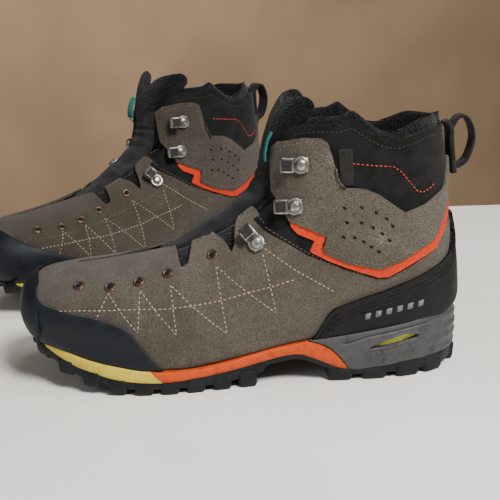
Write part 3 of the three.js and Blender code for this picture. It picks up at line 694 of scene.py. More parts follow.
THREAD = plain_finish("cream_thread", srgb(196, 180, 150), srgb(150, 134, 106), 0.85)
RED_THREAD = plain_finish("orange_thread", srgb(206, 84, 52), srgb(160, 58, 34), 0.85)
TONAL_THREAD = plain_finish("tonal_thread", srgb(122, 110, 94), srgb(84, 74, 62), 0.85)
DARK_THREAD = plain_finish("dark_thread", srgb(70, 62, 52), srgb(50, 44, 38), 0.85)
HOLE = plain_finish("hole_shadow", srgb(16, 14, 12), srgb(28, 25, 22), 0.95)
LABEL = plain_finish("blank_label", srgb(16, 16, 15), srgb(34, 32, 28), 0.7)
PALE_BAR = plain_finish("pale_bar", srgb(128, 128, 126), srgb(92, 92, 90), 0.6)
BOARD = plain_finish("board", srgb(150, 128, 96), srgb(118, 98, 70), 0.85)
FOAM = cloth_finish("footbed_foam", srgb(44, 44, 46), srgb(80, 80, 82), 0.0018)


# ---------------------------------------------------------------- pieces of the upper
def throat_edge(first, last, flank, count):
    """Spots along the throat's edge from one ring to another."""
    s = np.linspace(first, last, 120)
    return even(np.stack([s, flank * throat_angle(s, flank)], -1), count)


def lower_suede(boot):
    """The suede from toe to heel in one piece: strips from the hidden lower edge up to the centre line,
    the throat, the scalloped eyelet flaps and the top of the quarters."""
    start, throat, scallops, waist, heel, end = -152, -112, -42, 15, 120, 170
    grids = []
    for flank in (OUTER, INNER):
        centre = np.stack([np.linspace(1.55, 4.2, 60), np.full(60, flank * 1e-6)], -1)
        tops = [even(centre, 30), throat_edge(4.2, 7.25, flank, 50), edge(SCALLOPS, flank, 70, throat=True),
                edge(cut(QUARTER_TOP, waist, heel), flank, 50), edge(cut(QUARTER_TOP, heel, end), flank, 34)]
        spans = [(start, throat), (throat, scallops), (scallops, waist), (waist, heel), (heel, end)]
        lows = [edge(cut(SUEDE_FOOT, a, b), flank, len(top)) for (a, b), top in zip(spans, tops)]
        top, bottom = runs(*tops), runs(*lows)
        bottom[0] = top[0]
        grids.append(between(bottom, top, 40))
    return patch(boot, "lower_suede", grids, 0, SUEDE, SUEDE_WALL, flare=True, slot="suede",
                 replaces=("vamp", "quarter_outer", "quarter_inner"))


def cut(line, start, end):
    """The part of a side-view line between two values of x."""
    p = np.array(line, float)
    keep = p[(p[:, 0] > start) & (p[:, 0] < end)]
    first = [[start, np.interp(start, p[:, 0], p[:, 1])]] if start >= p[0, 0] else []
    final = [[end, np.interp(end, p[:, 0], p[:, 1])]] if end <= p[-1, 0] else []
    return np.concatenate([np.array(first).reshape(-1, 2), keep, np.array(final).reshape(-1, 2)])


def toe_rand(boot):
    """Rubber round the toe, from under the sole's edge up to a leaning top line, with a raised bead on it."""
    grids, lifts = [], []
    for flank, line in ((OUTER, RAND_TOP_OUTER), (INNER, RAND_TOP_INNER)):
        top = edge(rounded(line), flank, 110)
        bottom = edge(RAND_FOOT, flank, 110)
        bottom[0, 1] = top[0, 1] = 0
        bottom[0, 0] = 0
        v = np.linspace(0, 1, 34)[:, None] + np.zeros((1, 110))
        lifts.append(2.3 - 1.1 * step(0.93, 1.0, v) + 0.25 * np.sin(v * 9))
        grids.append(between(bottom, top, 34))
    obj = patch(boot, "toe_rubber", grids, lifts, RAND, TOE_WALL, flare=True, slot="rand_rubber",
                replaces=("toe_rand",))
    smooth = obj.modifiers.new("smooth", "SMOOTH")
    smooth.factor, smooth.iterations = 0.5, 12
    obj.modifiers.move(len(obj.modifiers) - 1, 0)
    return obj


def heel_patch(boot):
    """Moulded heel rubber: a border bead along its top and two fine piping lines that follow it."""
    grids, lifts = [], []
    for flank in (OUTER, INNER):
        spots = between(edge(HEEL_PATCH_FOOT, flank, 130), edge(rounded(HEEL_PATCH_TOP), flank, 130), 60)
        at = skin(spots)
        drop = np.linalg.norm(at - at[-1:], axis=-1)
        lift = 2.0 + 0.5 * (1 - step(1.6, 2.6, drop))
        for place in (4.4, 7.4, 10.4):
            lift = lift + 0.75 * np.exp(-(((drop - place) / 0.55) ** 2))
        grids.append(spots)
        lifts.append(lift)
    return patch(boot, "heel_patch", grids, lifts, HEEL_RUBBER, HEEL_WALL, 0.4, flare=True,
                 slot="rand_rubber", replaces=("heel_rand",))


def ankle_panels(boot):
    """The two suede panels round the ankle, joined at the back."""
    grids = []
    for flank in (OUTER, INNER):
        low = runs(edge(PANEL_FOOT[:4], flank, 50), edge(PANEL_FOOT[3:], flank, 90))
        high = runs(edge(PANEL_HEAD[:5], flank, 50), edge(PANEL_HEAD[4:], flank, 90))
        high[0] = low[0]
        grids.append(between(low, high, 34))
    return patch(boot, "ankle_suede", grids, PANEL_LIFT, SUEDE, PANEL_WALL, slot="suede",
                 replaces=("ankle_panel_outer", "ankle_panel_inner"))


def ankle_trim(boot):
    """The bright edging under the ankle panels, with a step at the front."""
    head = [(x, z + 2.6) for x, z in PANEL_FOOT[1:]]
    grids = [between(edge(TRIM_FOOT, flank, 150), edge(head, flank, 150), 8) for flank in (OUTER, INNER)]
    return patch(boot, "ankle_trim_band", grids, TRIM_LIFT, TRIM, TRIM_WALL, 0.35, slot="trim_orange",
                 replaces=("ankle_trim",))


def collar_shell(boot):
    """Softshell collar above the quarters, kept out of the throat."""
    grids = [between(*(edge(line, flank, 110, throat=True) for line in (COLLAR_FOOT, COLLAR_RIM)), 44)
             for flank in (OUTER, INNER)]
    return patch(boot, "softshell_collar", grids, 0.0, SOFTSHELL, SOFTSHELL_WALL, slot="softshell",
                 replaces=("collar",))


def sole_outline():
    """Points of the sole's plan at equal steps from the toe round the outer side, with outward normals."""
    p = spline(SOLE_PLAN, 721, closed=True)
    ahead = np.roll(p[:-1], -1, 0) - np.roll(p[:-1], 1, 0)
    out = np.stack([ahead[:, 1], -ahead[:, 0]], -1)
    out = out / np.linalg.norm(out, axis=1, keepdims=True)
    if (out * (p[:-1] - p[:-1].mean(0))).sum() < 0:
        out = -out
    return p, np.vstack([out, out[:1]])


SOLE_EDGE, SOLE_OUT = sole_outline()
HEEL_TURN = int(np.argmax(SOLE_EDGE[:, 0]))
SOLE_REACH = sole_reach()


def turn_at(x, flank):
    """Place along the sole's outline, as an index, where the flank passes x."""
    if flank == OUTER:
        return np.interp(x, SOLE_EDGE[:HEEL_TURN + 1, 0], np.arange(HEEL_TURN + 1))
    run = SOLE_EDGE[HEEL_TURN:][::-1]
    return np.interp(x, run[:, 0], np.arange(len(SOLE_EDGE) - 1, HEEL_TURN - 1, -1))


def edge_point(turn, z, out=0.0):
    """Point at a place of the sole's outline, height z, pushed out."""
    turn = np.mod(turn, len(SOLE_EDGE) - 1)
    index = np.arange(len(SOLE_EDGE))
    x, y = (np.interp(turn, index, SOLE_EDGE[:, k]) for k in range(2))
    nx, ny = (np.interp(turn, index, SOLE_OUT[:, k]) for k in range(2))
    return np.stack([x + nx * out, y + ny * out, z + 0 * x], -1)


def ground(x):
    """Height of the tread over the floor: the toe springs up ahead of the ball."""
    return 36 * (np.maximum(-62 - np.asarray(x, float), 0) / 94) ** 2.2


def band(boot, name, starts, ends, rows, columns, low, high, bulge, material, depth=9.0, **rest):
    """A band of the sole's side: columns run along the outline from starts to ends, which may change
    with the height share v; rows run from the low line to the high one; bulge(v, x, z) pushes it out."""
    v = np.linspace(0, 1, rows)[:, None]
    u = np.linspace(0, 1, columns)[None]
    turn = starts(v) * (1 - u) + ends(v) * u
    x = edge_point(turn, 0)[..., 0]
    z = line_at(low, x) * (1 - v) + line_at(high, x) * v
    outer = edge_point(turn, z, bulge(v, x, z))
    inner = edge_point(turn, z, np.full(turn.shape, -depth))
    return slab(boot, name, outer, inner, material, sides=outer[..., [0, 2]], **rest)


def joint_turn(line, flank):
    """Place along the outline of a slanting joint, by height share from the sole line to the feather line."""
    line = np.array(line, float)
    heights = np.linspace(0, 1, len(line))
    return lambda v: turn_at(np.interp(v, heights, line[:, 0]), flank)


def midsoles(boot):
    """Yellow toe band and an orange arch band on each side."""
    low, high = smooth_line(SOLE_LINE), smooth_line(FEATHER_LINE) + [0, -1.2]
    swell = lambda v, x, z: 0.9 * np.sin(np.clip(v, 0, 1) * math.pi) ** 0.6 - 0.5
    full = len(SOLE_EDGE) - 1
    band(boot, "midsole_toe_band", lambda v: joint_turn(TOE_JOINT, INNER)(v) - full,
         joint_turn(TOE_JOINT, OUTER), 12, 260, low, high, swell, YELLOW, roll=0.4, slot="midsole_yellow",
         replaces=("midsole_toe",))
    for side_name, flank in SIDES:
        ends = (joint_turn(ARCH_FRONT, flank), joint_turn(ARCH_BACK, flank))
        band(boot, f"midsole_arch_band_{side_name}", *ends[::flank], 12, 120, low, high, swell, ORANGE,
             roll=0.4, slot="midsole_orange", replaces=("midsole_arch",))


WINDOW = [(86, 23), (98, 28.2), (110, 31.5), (120, 30.2), (119, 28), (98, 23.6)]


def inside(outline, x, z, soft):
    """Soft membership of side-view points in a convex or mildly bent outline: 1 inside, 0 outside,
    from the smallest signed distance to its sides."""
    p = np.array(outline, float)
    least = np.full(np.shape(x), 1e9)
    turning = np.sign(np.sum(p[:, 0] * np.roll(p[:, 1], -1) - np.roll(p[:, 0], -1) * p[:, 1]))
    for (ax, az), (bx, bz) in zip(p, np.roll(p, -1, 0)):
        length = math.hypot(bx - ax, bz - az)
        least = np.minimum(least, turning * ((bx - ax) * (z - az) - (bz - az) * (x - ax)) / length)
    return step(-soft, soft, least)


def heel_relief(v, x, z):
    """Relief of the heel frame: a swelling side, a long slot under its top edge, slanted hatch ribs low
    down, stepped ridges round the back and the window's recess with a raised lip."""
    lift = 1.4 * np.sin(v * math.pi) ** 0.5 - 0.4
    slot_line = np.interp(x, [70, 84, 112, 132], [27, 31, 35.5, 38])
    lift = lift - 1.2 * np.exp(-(((z - slot_line) / 0.7) ** 2)) * step(64, 72, x) * (1 - step(126, 132, x))
    hatch = np.mod(x - 0.8 * z, 4.4) / 4.4
    ribs = step(0.1, 0.3, hatch) * (1 - step(0.55, 0.75, hatch))
    zone = step(80, 84, x) * (1 - step(120, 124, x)) * step(0.1, 0.16, v) * (1 - step(0.36, 0.42, v))
    lift = lift + 0.7 * ribs * zone
    back = step(122, 134, x)
    steps = np.mod(v * 4.2 + 0.25, 1)
    lift = lift + back * (0.9 * step(0.0, 0.75, steps) * (1 - step(0.85, 1.0, steps)) - 0.3)
    lip = inside(spread_outline(WINDOW, 1.6), x, z, 0.5)
    hollow = inside(WINDOW, x, z, 0.45)
    return lift + 0.8 * lip * (1 - hollow) - 4.5 * hollow


def spread_outline(outline, grow):
    """The outline scaled about its middle so that its reach grows by about the given amount each way."""
    p = np.array(outline, float)
    middle = (p.max(0) + p.min(0)) / 2
    reach = (p.max(0) - p.min(0)) / 2
    return middle + (p - middle) * (1 + grow / reach)


def heel_frames(boot):
    """The grey frame round the heel with its relief, and the lime cushion that shows in its window."""
    low, high = smooth_line(SOLE_LINE), smooth_line(FEATHER_LINE) + [0, -0.4]
    band(boot, "heel_frame_band", joint_turn(FRAME_FRONT, OUTER), joint_turn(FRAME_FRONT, INNER), 64, 620,
         low, high, heel_relief, FRAME_GREY, roll=0, slot="frame_grey", replaces=("heel_frame",))
    for side_name, flank in SIDES:
        x, z = np.meshgrid(np.linspace(82, 123, 24), np.linspace(21, 33, 12))
        turn = turn_at(x, flank)
        crown = 0.7 * np.cos((x - 102) / 20) + 0.25 * np.sin(x * 1.4)
        face = edge_point(turn, z, -3.2 + crown)
        back = edge_point(turn, z, np.full(x.shape, -6.0))
        slab(boot, f"cushion_window_{side_name}", face, back, LIME, roll=0.3, slot="cushion_lime",
             replaces=("heel_cushion",))


def lug(centre, along, across, length, depth, top, bottom, chamfer):
    """A tread block: a rounded rectangle carried down from its root at height top to its face at height
    bottom, narrowing on the way, with the last edge chamfered."""
    angle = np.linspace(0, 2 * math.pi, 20, endpoint=False)
    u = np.sign(np.cos(angle)) * np.abs(np.cos(angle)) ** 0.35 * length / 2
    v = np.sign(np.sin(angle)) * np.abs(np.sin(angle)) ** 0.35 * depth / 2
    levels = [(CLOSED, top), (1, top), (0.93, bottom + chamfer), (0.8, bottom), (CLOSED, bottom)]
    return np.array([np.stack([centre[0] + size * (u * along[0] + v * across[0]),
                               centre[1] + size * (u * along[1] + v * across[1]),
                               np.full(len(angle), height)], -1) for size, height in levels])


def gathered(boot, name, grids, material, sides=None, **rest):
    """One welded piece from grids whose columns close on themselves, mapped from the side unless told."""
    points, quads, first = [], [], 0
    for g in grids:
        flat = g.reshape(-1, 3)
        faces = grid_faces(*g.shape[:2], wrap=True)
        if volume(flat, faces) < 0:
            faces = faces[:, ::-1]
        points.append(flat)
        quads.append(faces + first)
        first += len(flat)
    points = np.concatenate(points)
    obj = boot.piece(name, points, np.concatenate(quads), material,
                     sides=points[:, [0, 2]] if sides is None else sides, **rest)
    weld(obj)
    return obj


def outsoles(boot):
    """Black rubber: a wall under the midsole's edge, the sole plate and the lugs in three rows."""
    low_line = smooth_line(SOLE_LINE)
    turn = np.arange(0, 720, 2)
    rim = edge_point(turn, 0)
    sill = line_at(low_line, rim[:, 0])
    root = np.maximum(ground(rim[:, 0]) + TREAD_DEPTH, sill - 7.5)
    root = np.where((rim[:, 0] > 14) & (rim[:, 0] < 58), sill - ARCH_TREAD, root)
    profile = [(sill + 0.9, -8.0), (sill + 0.9, -0.6), (sill + 0.3, -0.1), (root * 0.4 + sill * 0.6, -0.4),
               (root, -0.9), (root, -4.0)]
    across = -np.arange(len(turn)) % len(turn)
    spine = (rim[:, 0] + rim[across, 0]) / 2
    middle = lambda height: np.stack([spine, 0 * spine, (height + height[across]) / 2], -1)
    wall = [edge_point(turn, z, np.full(turn.shape, out)) for z, out in profile]
    grids = [np.array([middle(sill + 0.9), *wall, middle(root)])]
    for flank in (OUTER, INNER):
        for x in [*np.arange(-137, 6, TREAD_PITCH), *HEEL_LUGS]:
            grids.append(side_lug(float(turn_at(x, flank)), low_line))
    grids += [side_lug(0, low_line), side_lug(HEEL_TURN, low_line)]
    for x in [*np.arange(-128, 2, TREAD_PITCH), *HEEL_LUG_ROW]:
        width = 2 * abs(float(edge_point(turn_at(x, OUTER), 0)[1]))
        base = float(ground(x))
        for sign in (-1, 1):
            grids.append(lug((x, width * 0.2 * sign), (0.9, 0.42 * sign), (-0.42 * sign, 0.9), 11.5,
                             width * 0.26, base + 5.5, base, 1.0))
    obj = gathered(boot, "tread", grids, OUTSOLE, slot="outsole_rubber", replaces=("outsole",))
    return bevel(obj, 0.4, 1, 40)


def side_lug(turn, low_line):
    """A lug at a place of the sole's edge, square to the outline, from under the midsole to the floor."""
    at = edge_point(np.array(turn), 0.0, -7.0)
    ahead = edge_point(np.array(turn + 4.0), 0.0) - edge_point(np.array(turn - 4.0), 0.0)
    ahead = ahead[:2] / np.linalg.norm(ahead[:2])
    x = float(edge_point(np.array(turn), 0.0)[0])
    base = float(ground(x))
    top = min(float(line_at(low_line, x)) - 0.2, base + 12)
    return lug(at, ahead, (ahead[1], -ahead[0]), 18.5 if x > 58 else 13.6, 15.2, top, base, 2.4)


def straps(boot, name, path, width, thickness, material, flat_axis=(0, 1, 0), **rest):
    """A strap: a rounded rectangle carried along the path, its width along flat_axis."""
    p = spline(path, 48)
    ahead = np.gradient(p, axis=0)
    ahead /= np.linalg.norm(ahead, axis=1, keepdims=True)
    wide = np.broadcast_to(np.array(flat_axis, float), p.shape)
    up = np.cross(ahead, wide)
    up /= np.linalg.norm(up, axis=1, keepdims=True)
    angle = np.linspace(0, 2 * math.pi, 16, endpoint=False)
    across = np.sign(np.cos(angle)) * np.abs(np.cos(angle)) ** 0.3 * width / 2
    high = np.sign(np.sin(angle)) * np.abs(np.sin(angle)) ** 0.7 * thickness / 2
    p = np.vstack([p[:1], p, p[-1:]])
    wide, up = (np.vstack([v[:1], v, v[-1:]]) for v in (wide, up))
    size = np.concatenate([[CLOSED], np.ones(len(p) - 2), [CLOSED]])[:, None, None]
    grid = p[:, None] + size * (wide[:, None] * across[None, :, None] + up[:, None] * high[None, :, None])
    reach = np.arange(len(p)) * 1.4
    sides = np.stack(np.broadcast_arrays(across[None], reach[:, None]), -1)
    return gathered(boot, name, [grid], material, sides=sides.reshape(-1, 2), **rest)


def heel_straps(boot):
    """The webbing pull loop, turning with its body, and the tab that it is sewn under."""
    loop = [(x, 0, z) for x, z in LOOP_PATH]
    tab = [(142.5, 0, 171), (145.2, 0, 166), (146, 0, 156), (147.2, 0, 146), (148.6, 0, 136)]
    straps(boot, "webbing_loop", loop, LOOP_WIDTH, LOOP_THICKNESS, WEBBING, body="pull_loop", slot="webbing",
           replaces=("pull_loop",))
    straps(boot, "heel_tab", tab, TAB_WIDTH, TAB_THICKNESS, WEBBING, slot="webbing", replaces=("loop_tab",))


def seat(x, z, flank, lift, heading=(1, 0)):
    """Frame on the last under a side-view point: its place, the outward normal, and the surface
    direction that points along heading in side view."""
    spot = spots_at(np.array(float(x)), np.array(float(z)), flank)
    place = skin(spot, lift)
    out = last_normal(spot[..., 0], spot[..., 1])
    ahead = np.array([heading[0], 0, heading[1]], float)
    ahead = ahead - out * ahead.dot(out)
    ahead /= np.linalg.norm(ahead)
    return place, out, ahead, np.cross(out, ahead)


def turned(frame_at, profile, segments=20):
    """A lathe form on a seat: profile of (radius, height) pairs turned about the outward normal."""
    place, out, ahead, across = frame_at
    angle = np.linspace(0, 2 * math.pi, segments, endpoint=False)
    ring_at = ahead * np.cos(angle)[:, None] + across * np.sin(angle)[:, None]
    return np.array([place + ring_at * r + out * h for r, h in profile])


def eyelets(boot):
    """Eyelets: a rolled copper washer with a dark barrel through it and a shadowed bore."""
    parts = [("washers", COPPER, "antique_copper", 24,
              [(2.4, -0.5), (3.9, -0.5), (3.95, 0.15), (3.6, 0.6), (3.1, 0.8), (2.6, 0.7), (2.3, 0.4),
               (2.3, -0.5)]),
             ("barrels", DARK_STEEL, "spring_steel", 24,
              [(1.9, -1.4), (2.5, -1.4), (2.6, 0.7), (2.4, 0.95), (2.1, 0.85), (1.75, 0.3), (1.7, -1.4)]),
             ("bores", HOLE, "board", 16, [(CLOSED, -0.4), (1.9, -0.4), (1.9, 0.35), (CLOSED, 0.35)])]
    for side_name, flank in SIDES:
        seats = [seat(x, z, flank, 0) for x, z in EYELETS]
        for name, material, slot, segments, profile in parts:
            grids = [turned(at, profile, segments) for at in seats]
            gathered(boot, f"eyelet_{name}_{side_name}", grids, material, slot=slot,
                     replaces=(f"eyelet_stay_{side_name}",))


def stitches(boot, name, lines, flank, lift, material, length, width, slot):
    """Rows of thread: each stitch is a small spindle lying along its line, sunk at its ends."""
    angle = np.linspace(0, 2 * math.pi, 6, endpoint=False)
    gap = length / 2
    grids = []
    for line in lines:
        run = edge(line, flank, 400)
        at = skin(run)
        reach = np.concatenate([[0], np.cumsum(np.linalg.norm(np.diff(at, axis=0), axis=1))])
        for start in np.arange(0.4, reach[-1] - length, length + gap):
            t = start + length * np.array([0, 0.12, 0.5, 0.88, 1])
            spots = np.stack([np.interp(t, reach, run[:, k]) for k in range(2)], -1)
            high = np.array([-0.5, 0.0, 0.25, 0.0, -0.5]) + lift
            p = skin(spots, high)
            out = last_normal(spots[:, 0], spots[:, 1])
            ahead = (p[-1] - p[0]) / np.linalg.norm(p[-1] - p[0])
            across = np.cross(out, ahead)
            size = width * np.array([CLOSED, 0.8, 1, 0.8, CLOSED])[:, None, None]
            grids.append(p[:, None] + size * (across[:, None] * np.cos(angle)[None, :, None]
                                              + out[:, None] * np.sin(angle)[None, :, None]))
    return gathered(boot, name, grids, material, slot=slot)


ZIGZAG = [
    (-97, 51), (-88, 68), (-69, 44), (-67, 70), (-44, 42), (-47, 73), (-11, 40), (-17, 84), (22, 52),
    (14, 92),
]
HOOK_SEAM = [(15, 95), (35, 80.5), (57, 67), (63, 63)]
PANEL_HEAD_SEAM = [
    (26, 155), (30, 160), (40, 163), (51, 163), (54, 160), (57, 152), (60.5, 139), (65, 131), (81, 130),
    (90, 126), (102, 117), (108, 113), (122, 117), (134, 124),
]
PANEL_FOOT_SEAM = [
    (36, 114), (44, 111), (59, 104.5), (56, 94), (70, 87), (92, 82), (107, 88), (127, 98.5), (134, 111),
]
FLANK_SEAM = [
    (-121, 57), (-107, 58), (-70, 59), (-50, 59), (-33, 60.5), (-13, 63), (3, 67), (19, 70), (34, 74),
]
STAY_SEAM = [
    (-129, 62), (-116, 66.5), (-108, 65), (-90, 65), (-70, 67), (-48, 71), (-36, 74), (-14, 80), (-4, 83),
    (19, 92), (27, 97),
]
PERFORATIONS = [
    (67.6, 121), (78.6, 121), (88, 117.3), (95, 113), (69, 111.5), (78.5, 111), (86, 107.5), (92, 103.3),
    (99, 108), (67, 102), (74, 101.5), (80, 98.5), (85, 95), (90, 91.5), (97, 98.5),
]
COLLAR_SEAM = [
    (72, 149.5), (84, 148), (100, 146.5), (105, 143), (117, 129), (121, 128), (127, 130.5), (131, 134),
]
RIM_SEAM = [
    (27, 160), (38, 168.5), (50, 170), (64, 169.5), (72, 172), (84, 164), (93, 159.5), (102, 158),
    (112, 160.5), (124, 164.5), (158, 165.5),
]


def seams(boot):
    """All the visible sewing of the upper."""
    flap_seam = [(x + 1.0, z - 3.0) for x, z in SCALLOPS[4:]]
    quarter_seam = [(x, z - 4.2) for x, z in cut(QUARTER_TOP, 16, 142)]
    rows = [("zigzag", [ZIGZAG, HOOK_SEAM, FLANK_SEAM], 0.1, THREAD, 2.2, 0.36, "suede"),
            ("tonal", [STAY_SEAM, flap_seam, quarter_seam], 0.0, TONAL_THREAD, 2.0, 0.3, "suede"),
            ("panel", [PANEL_HEAD_SEAM, PANEL_FOOT_SEAM], PANEL_LIFT, TONAL_THREAD, 2.0, 0.32, "suede"),
            ("collar", [COLLAR_SEAM], 0.1, RED_THREAD, 2.0, 0.4, "softshell"),
            ("rim", [RIM_SEAM], 0.1, DARK_THREAD, 2.0, 0.35, "softshell")]
    for side_name, flank in SIDES:
        for name, lines, lift, thread, length, width, slot in rows:
            stitches(boot, f"{name}_thread_{side_name}", lines, flank, lift, thread, length, width, slot)


def perforations(boot):
    """Slanted oval vent holes of the ankle panels, each a dark dish of painted hole shadow."""
    angle = np.linspace(0, 2 * math.pi, 16, endpoint=False)[:, None]
    profile = [(CLOSED, -0.25), (1.0, -0.25), (1.0, 0.08), (0.5, -0.02), (CLOSED, -0.05)]
    for side_name, flank in SIDES:
        dishes = []
        for x, z in PERFORATIONS:
            place, out, ahead, across = seat(x, z, flank, PANEL_LIFT + 0.05, (0.9, -0.5))
            oval = ahead * np.cos(angle) * 1.5 + across * np.sin(angle) * 0.95
            dishes.append(np.array([place + oval * r + out * h for r, h in profile]))
        gathered(boot, f"vent_holes_{side_name}", dishes, HOLE, slot="softshell")


def heel_bars(boot):
    """Plain slanted pale bars moulded on the outer heel rubber."""
    corners = np.array([(-2.2, -2.2), (1.6, -2.2), (2.8, 2.2), (-1.0, 2.2)])
    grids = []
    for x in 84 + 7.2 * np.arange(6):
        place, out, ahead, across = seat(x, 46.2 + (x - 84) * 0.2, OUTER, HEEL_WALL, (1, 0.2))
        bar = ahead * corners[:, :1] + across * -corners[:, 1:] * (1 if across[2] < 0 else -1)
        grids.append(flared(np.array([place + bar * r + out * h for r, h in
                                      [(CLOSED, -0.3), (1.0, -0.3), (0.95, 0.6), (CLOSED, 0.6)]])))
    return gathered(boot, "heel_bars", grids, PALE_BAR, slot="rand_rubber")


def side_label(boot):
    """A plain sewn tab at the front edge of the collar's side."""
    x, z = np.meshgrid(np.linspace(0, 1, 8), np.linspace(0, 1, 14))
    spots = spots_at(63.5 + 9 * x + 1.5 * (1 - z), 135 + 24 * z, OUTER)
    return patch(boot, "blank_side_tab", [spots], LABEL_LIFT, LABEL, 0.8, 0.25, slot="softshell")


def puffed(obj, cap):
    """Cloth under pressure: the closed piece is blown up for 20 steps without gravity on its own even grid,
    each point kept within the cap of where it began, and the result is applied."""
    bpy.context.view_layer.objects.active = obj
    before = coordinates(obj.data)
    cloth = obj.modifiers.new("cloth", "CLOTH")
    cloth.settings.quality = 5
    cloth.settings.mass = 0.2
    cloth.settings.tension_stiffness = 20
    cloth.settings.compression_stiffness = 20
    cloth.settings.bending_stiffness = 1.0
    cloth.settings.use_pressure = True
    cloth.settings.uniform_pressure_force = PAD_PRESSURE
    cloth.settings.effector_weights.gravity = 0
    cloth.point_cache.frame_end = 20
    for number in range(1, 21):
        bpy.context.scene.frame_set(number)
    bake(obj)
    bpy.context.scene.frame_set(1)
    move = coordinates(obj.data) - before
    reach = np.linalg.norm(move, axis=1, keepdims=True)
    after = before + move * np.minimum(1, cap * MM / (reach + 1e-9))
    obj.data.vertices.foreach_set("co", after.ravel())
    obj.data.update()


def bake(obj):
    """Applies the modifiers by taking the evaluated mesh."""
    graph = bpy.context.evaluated_depsgraph_get()
    made = bpy.data.meshes.new_from_object(obj.evaluated_get(graph))
    old = obj.data
    obj.modifiers.clear()
    obj.data = made
    made.name = old.name


def coordinates(mesh):
    """The mesh's points as one array."""
    flat = np.empty(len(mesh.vertices) * 3)
    mesh.vertices.foreach_get("co", flat)
    return flat.reshape(-1, 3)


def padded(obj, cap):
    puffed(obj, cap)
    wave = obj.modifiers.new("round", "SUBSURF")
    wave.levels = wave.render_levels = 1


def tongue(boot):
    """The padded tongue: an outer and an inner face that meet round the rim. It starts flat under the
    flaps, stands proud of them above, and widens at the top into two rounded fleecy lobes."""
    v = np.linspace(0, 1, 90)[:, None]
    u = np.linspace(-1, 1, 49)[None]
    s_top = np.interp(np.abs(u), [0, 0.1, 0.35, 0.6, 0.85, 0.95, 1],
                      [18.35, 18.55, 18.8, 18.95, 19.1, 18.8, 18.3])
    s = 6.7 + (s_top - 6.7) * v
    half = np.interp(s, [6.7, 8, 10, 13, 15, 17.2, 19], [9, 13, 16, 17, 20, 27, 36.5])
    r = ring(s)
    reach = np.where(u < 0, r[..., 4], r[..., 5])
    share = np.clip(np.abs(u) * half / reach, 0, 0.98)
    angle = -np.sign(u) * np.arcsin(share ** (1 / np.maximum(r[..., 7], 0.42)))
    rim = (1 - np.abs(u) ** 6) ** 0.5 * np.clip((1 - v) * 14, 0.02, 1) ** 0.5
    proud = np.interp(s, [6.7, 7.4, 8.2, 9.5, 12, 16, 19], [-2.4, -1.8, 2.2, 4.6, 6.0, 5.0, 3.0])
    under = np.interp(s, [6.7, 8, 15.5, 17.5, 19], [-2.4, -2.2, -1.2, 0.6, 1.0])
    bow = 1 - np.abs(u) ** 2.6
    middle = under + (proud - under) * bow - 3.0
    creases = 0.45 * np.sin(s * 5.2 + 1.5 * np.cos(u * 2)) * step(7.5, 9, s) * (1 - step(13, 15, s))
    outer = skin(np.stack([s, angle], -1), middle + 3.2 * rim + creases)
    inner = skin(np.stack([s, angle], -1), middle - 2.6 * rim)
    sides = np.stack([u * 34 + 0 * v, v * 170 + 0 * u], -1)
    obj = slab(boot, "tongue_pad", outer, inner, TONGUE_CLOTH, sides=sides, roll=0, body="tongue",
               slot="tongue_fabric", replaces=("tongue",))
    weld(obj)
    obj.data.materials.append(TERRY)
    height = np.array([p.center[2] for p in obj.data.polygons])
    obj.data.polygons.foreach_set("material_index", (height > TERRY_FROM * MM).astype(int))
    padded(obj, TONGUE_CAP)
    loop = [skin(np.array([s, 0.2]), 5.6 + lift)
            for s, lift in ((14.4, -0.1), (15, 0.75), (15.7, 0.6), (16.4, 0.3), (17, -1.2))]
    straps(boot, "teal_tab", loop, 9, 1.4, TEAL, flat_axis=(0, 1, 0), body="tongue", slot="webbing")
    return obj


def collar_padding(boot):
    """The padded terry rim inside the collar: a fat oval carried round the rim from one side of the throat
    to the other, over the collar's edge and down inside."""
    turns = [edge(COLLAR_RIM, flank, 60, throat=True) for flank in (OUTER, INNER)]
    spots = np.concatenate([turns[0], turns[1][-2::-1]])
    count = np.arange(len(spots))
    size = np.minimum(1, 0.35 + np.minimum(count, count[::-1]) / 9)[:, None]
    angle = np.linspace(0, 2 * math.pi, 28, endpoint=False)[None]
    drop = -13 + 18 * np.cos(angle)
    drop = np.where(drop > 0, drop * 0.95, drop * 1.5)
    s = np.minimum(spots[:, :1] + drop * size / 15.0, 20)
    at = skin(np.stack([s, spots[:, 1:] + 0 * s], -1), -5.6 + 3.7 * np.sin(angle) + 0 * s)
    grid = np.concatenate([[at[0].mean(0) + 0 * at[0]], at, [at[-1].mean(0) + 0 * at[-1]]])
    column = np.arange(len(grid))[:, None] * 1.9 + 0 * angle
    sides = np.stack([column, angle * 9 + 0 * column], -1)
    obj = gathered(boot, "collar_padding", [grid], TERRY, sides=sides.reshape(-1, 2), slot="terry_lining",
                   replaces=("lining",))
    padded(obj, RIM_CAP)
    return obj


def sock(boot):
    """The lining below the rim: a thin skin inside the boot, open along the throat."""
    s = np.concatenate([np.linspace(0.9, 6.4, 16), np.linspace(6.6, 17.2, 40)])
    grids = []
    for flank in (OUTER, INNER):
        start = np.where(s < 6.5, 0, throat_angle(s, flank))
        share = np.linspace(0, 1, 48)
        angle = start[:, None] + (math.pi - start[:, None]) * share[None]
        grids.append(np.stack([s[:, None] + 0 * angle, flank * np.maximum(angle, 1e-6)], -1))
    return patch(boot, "sock_lining", grids, SOCK_LIFT, TERRY, SOCK_WALL, 0, slot="terry_lining",
                 replaces=("lining",))


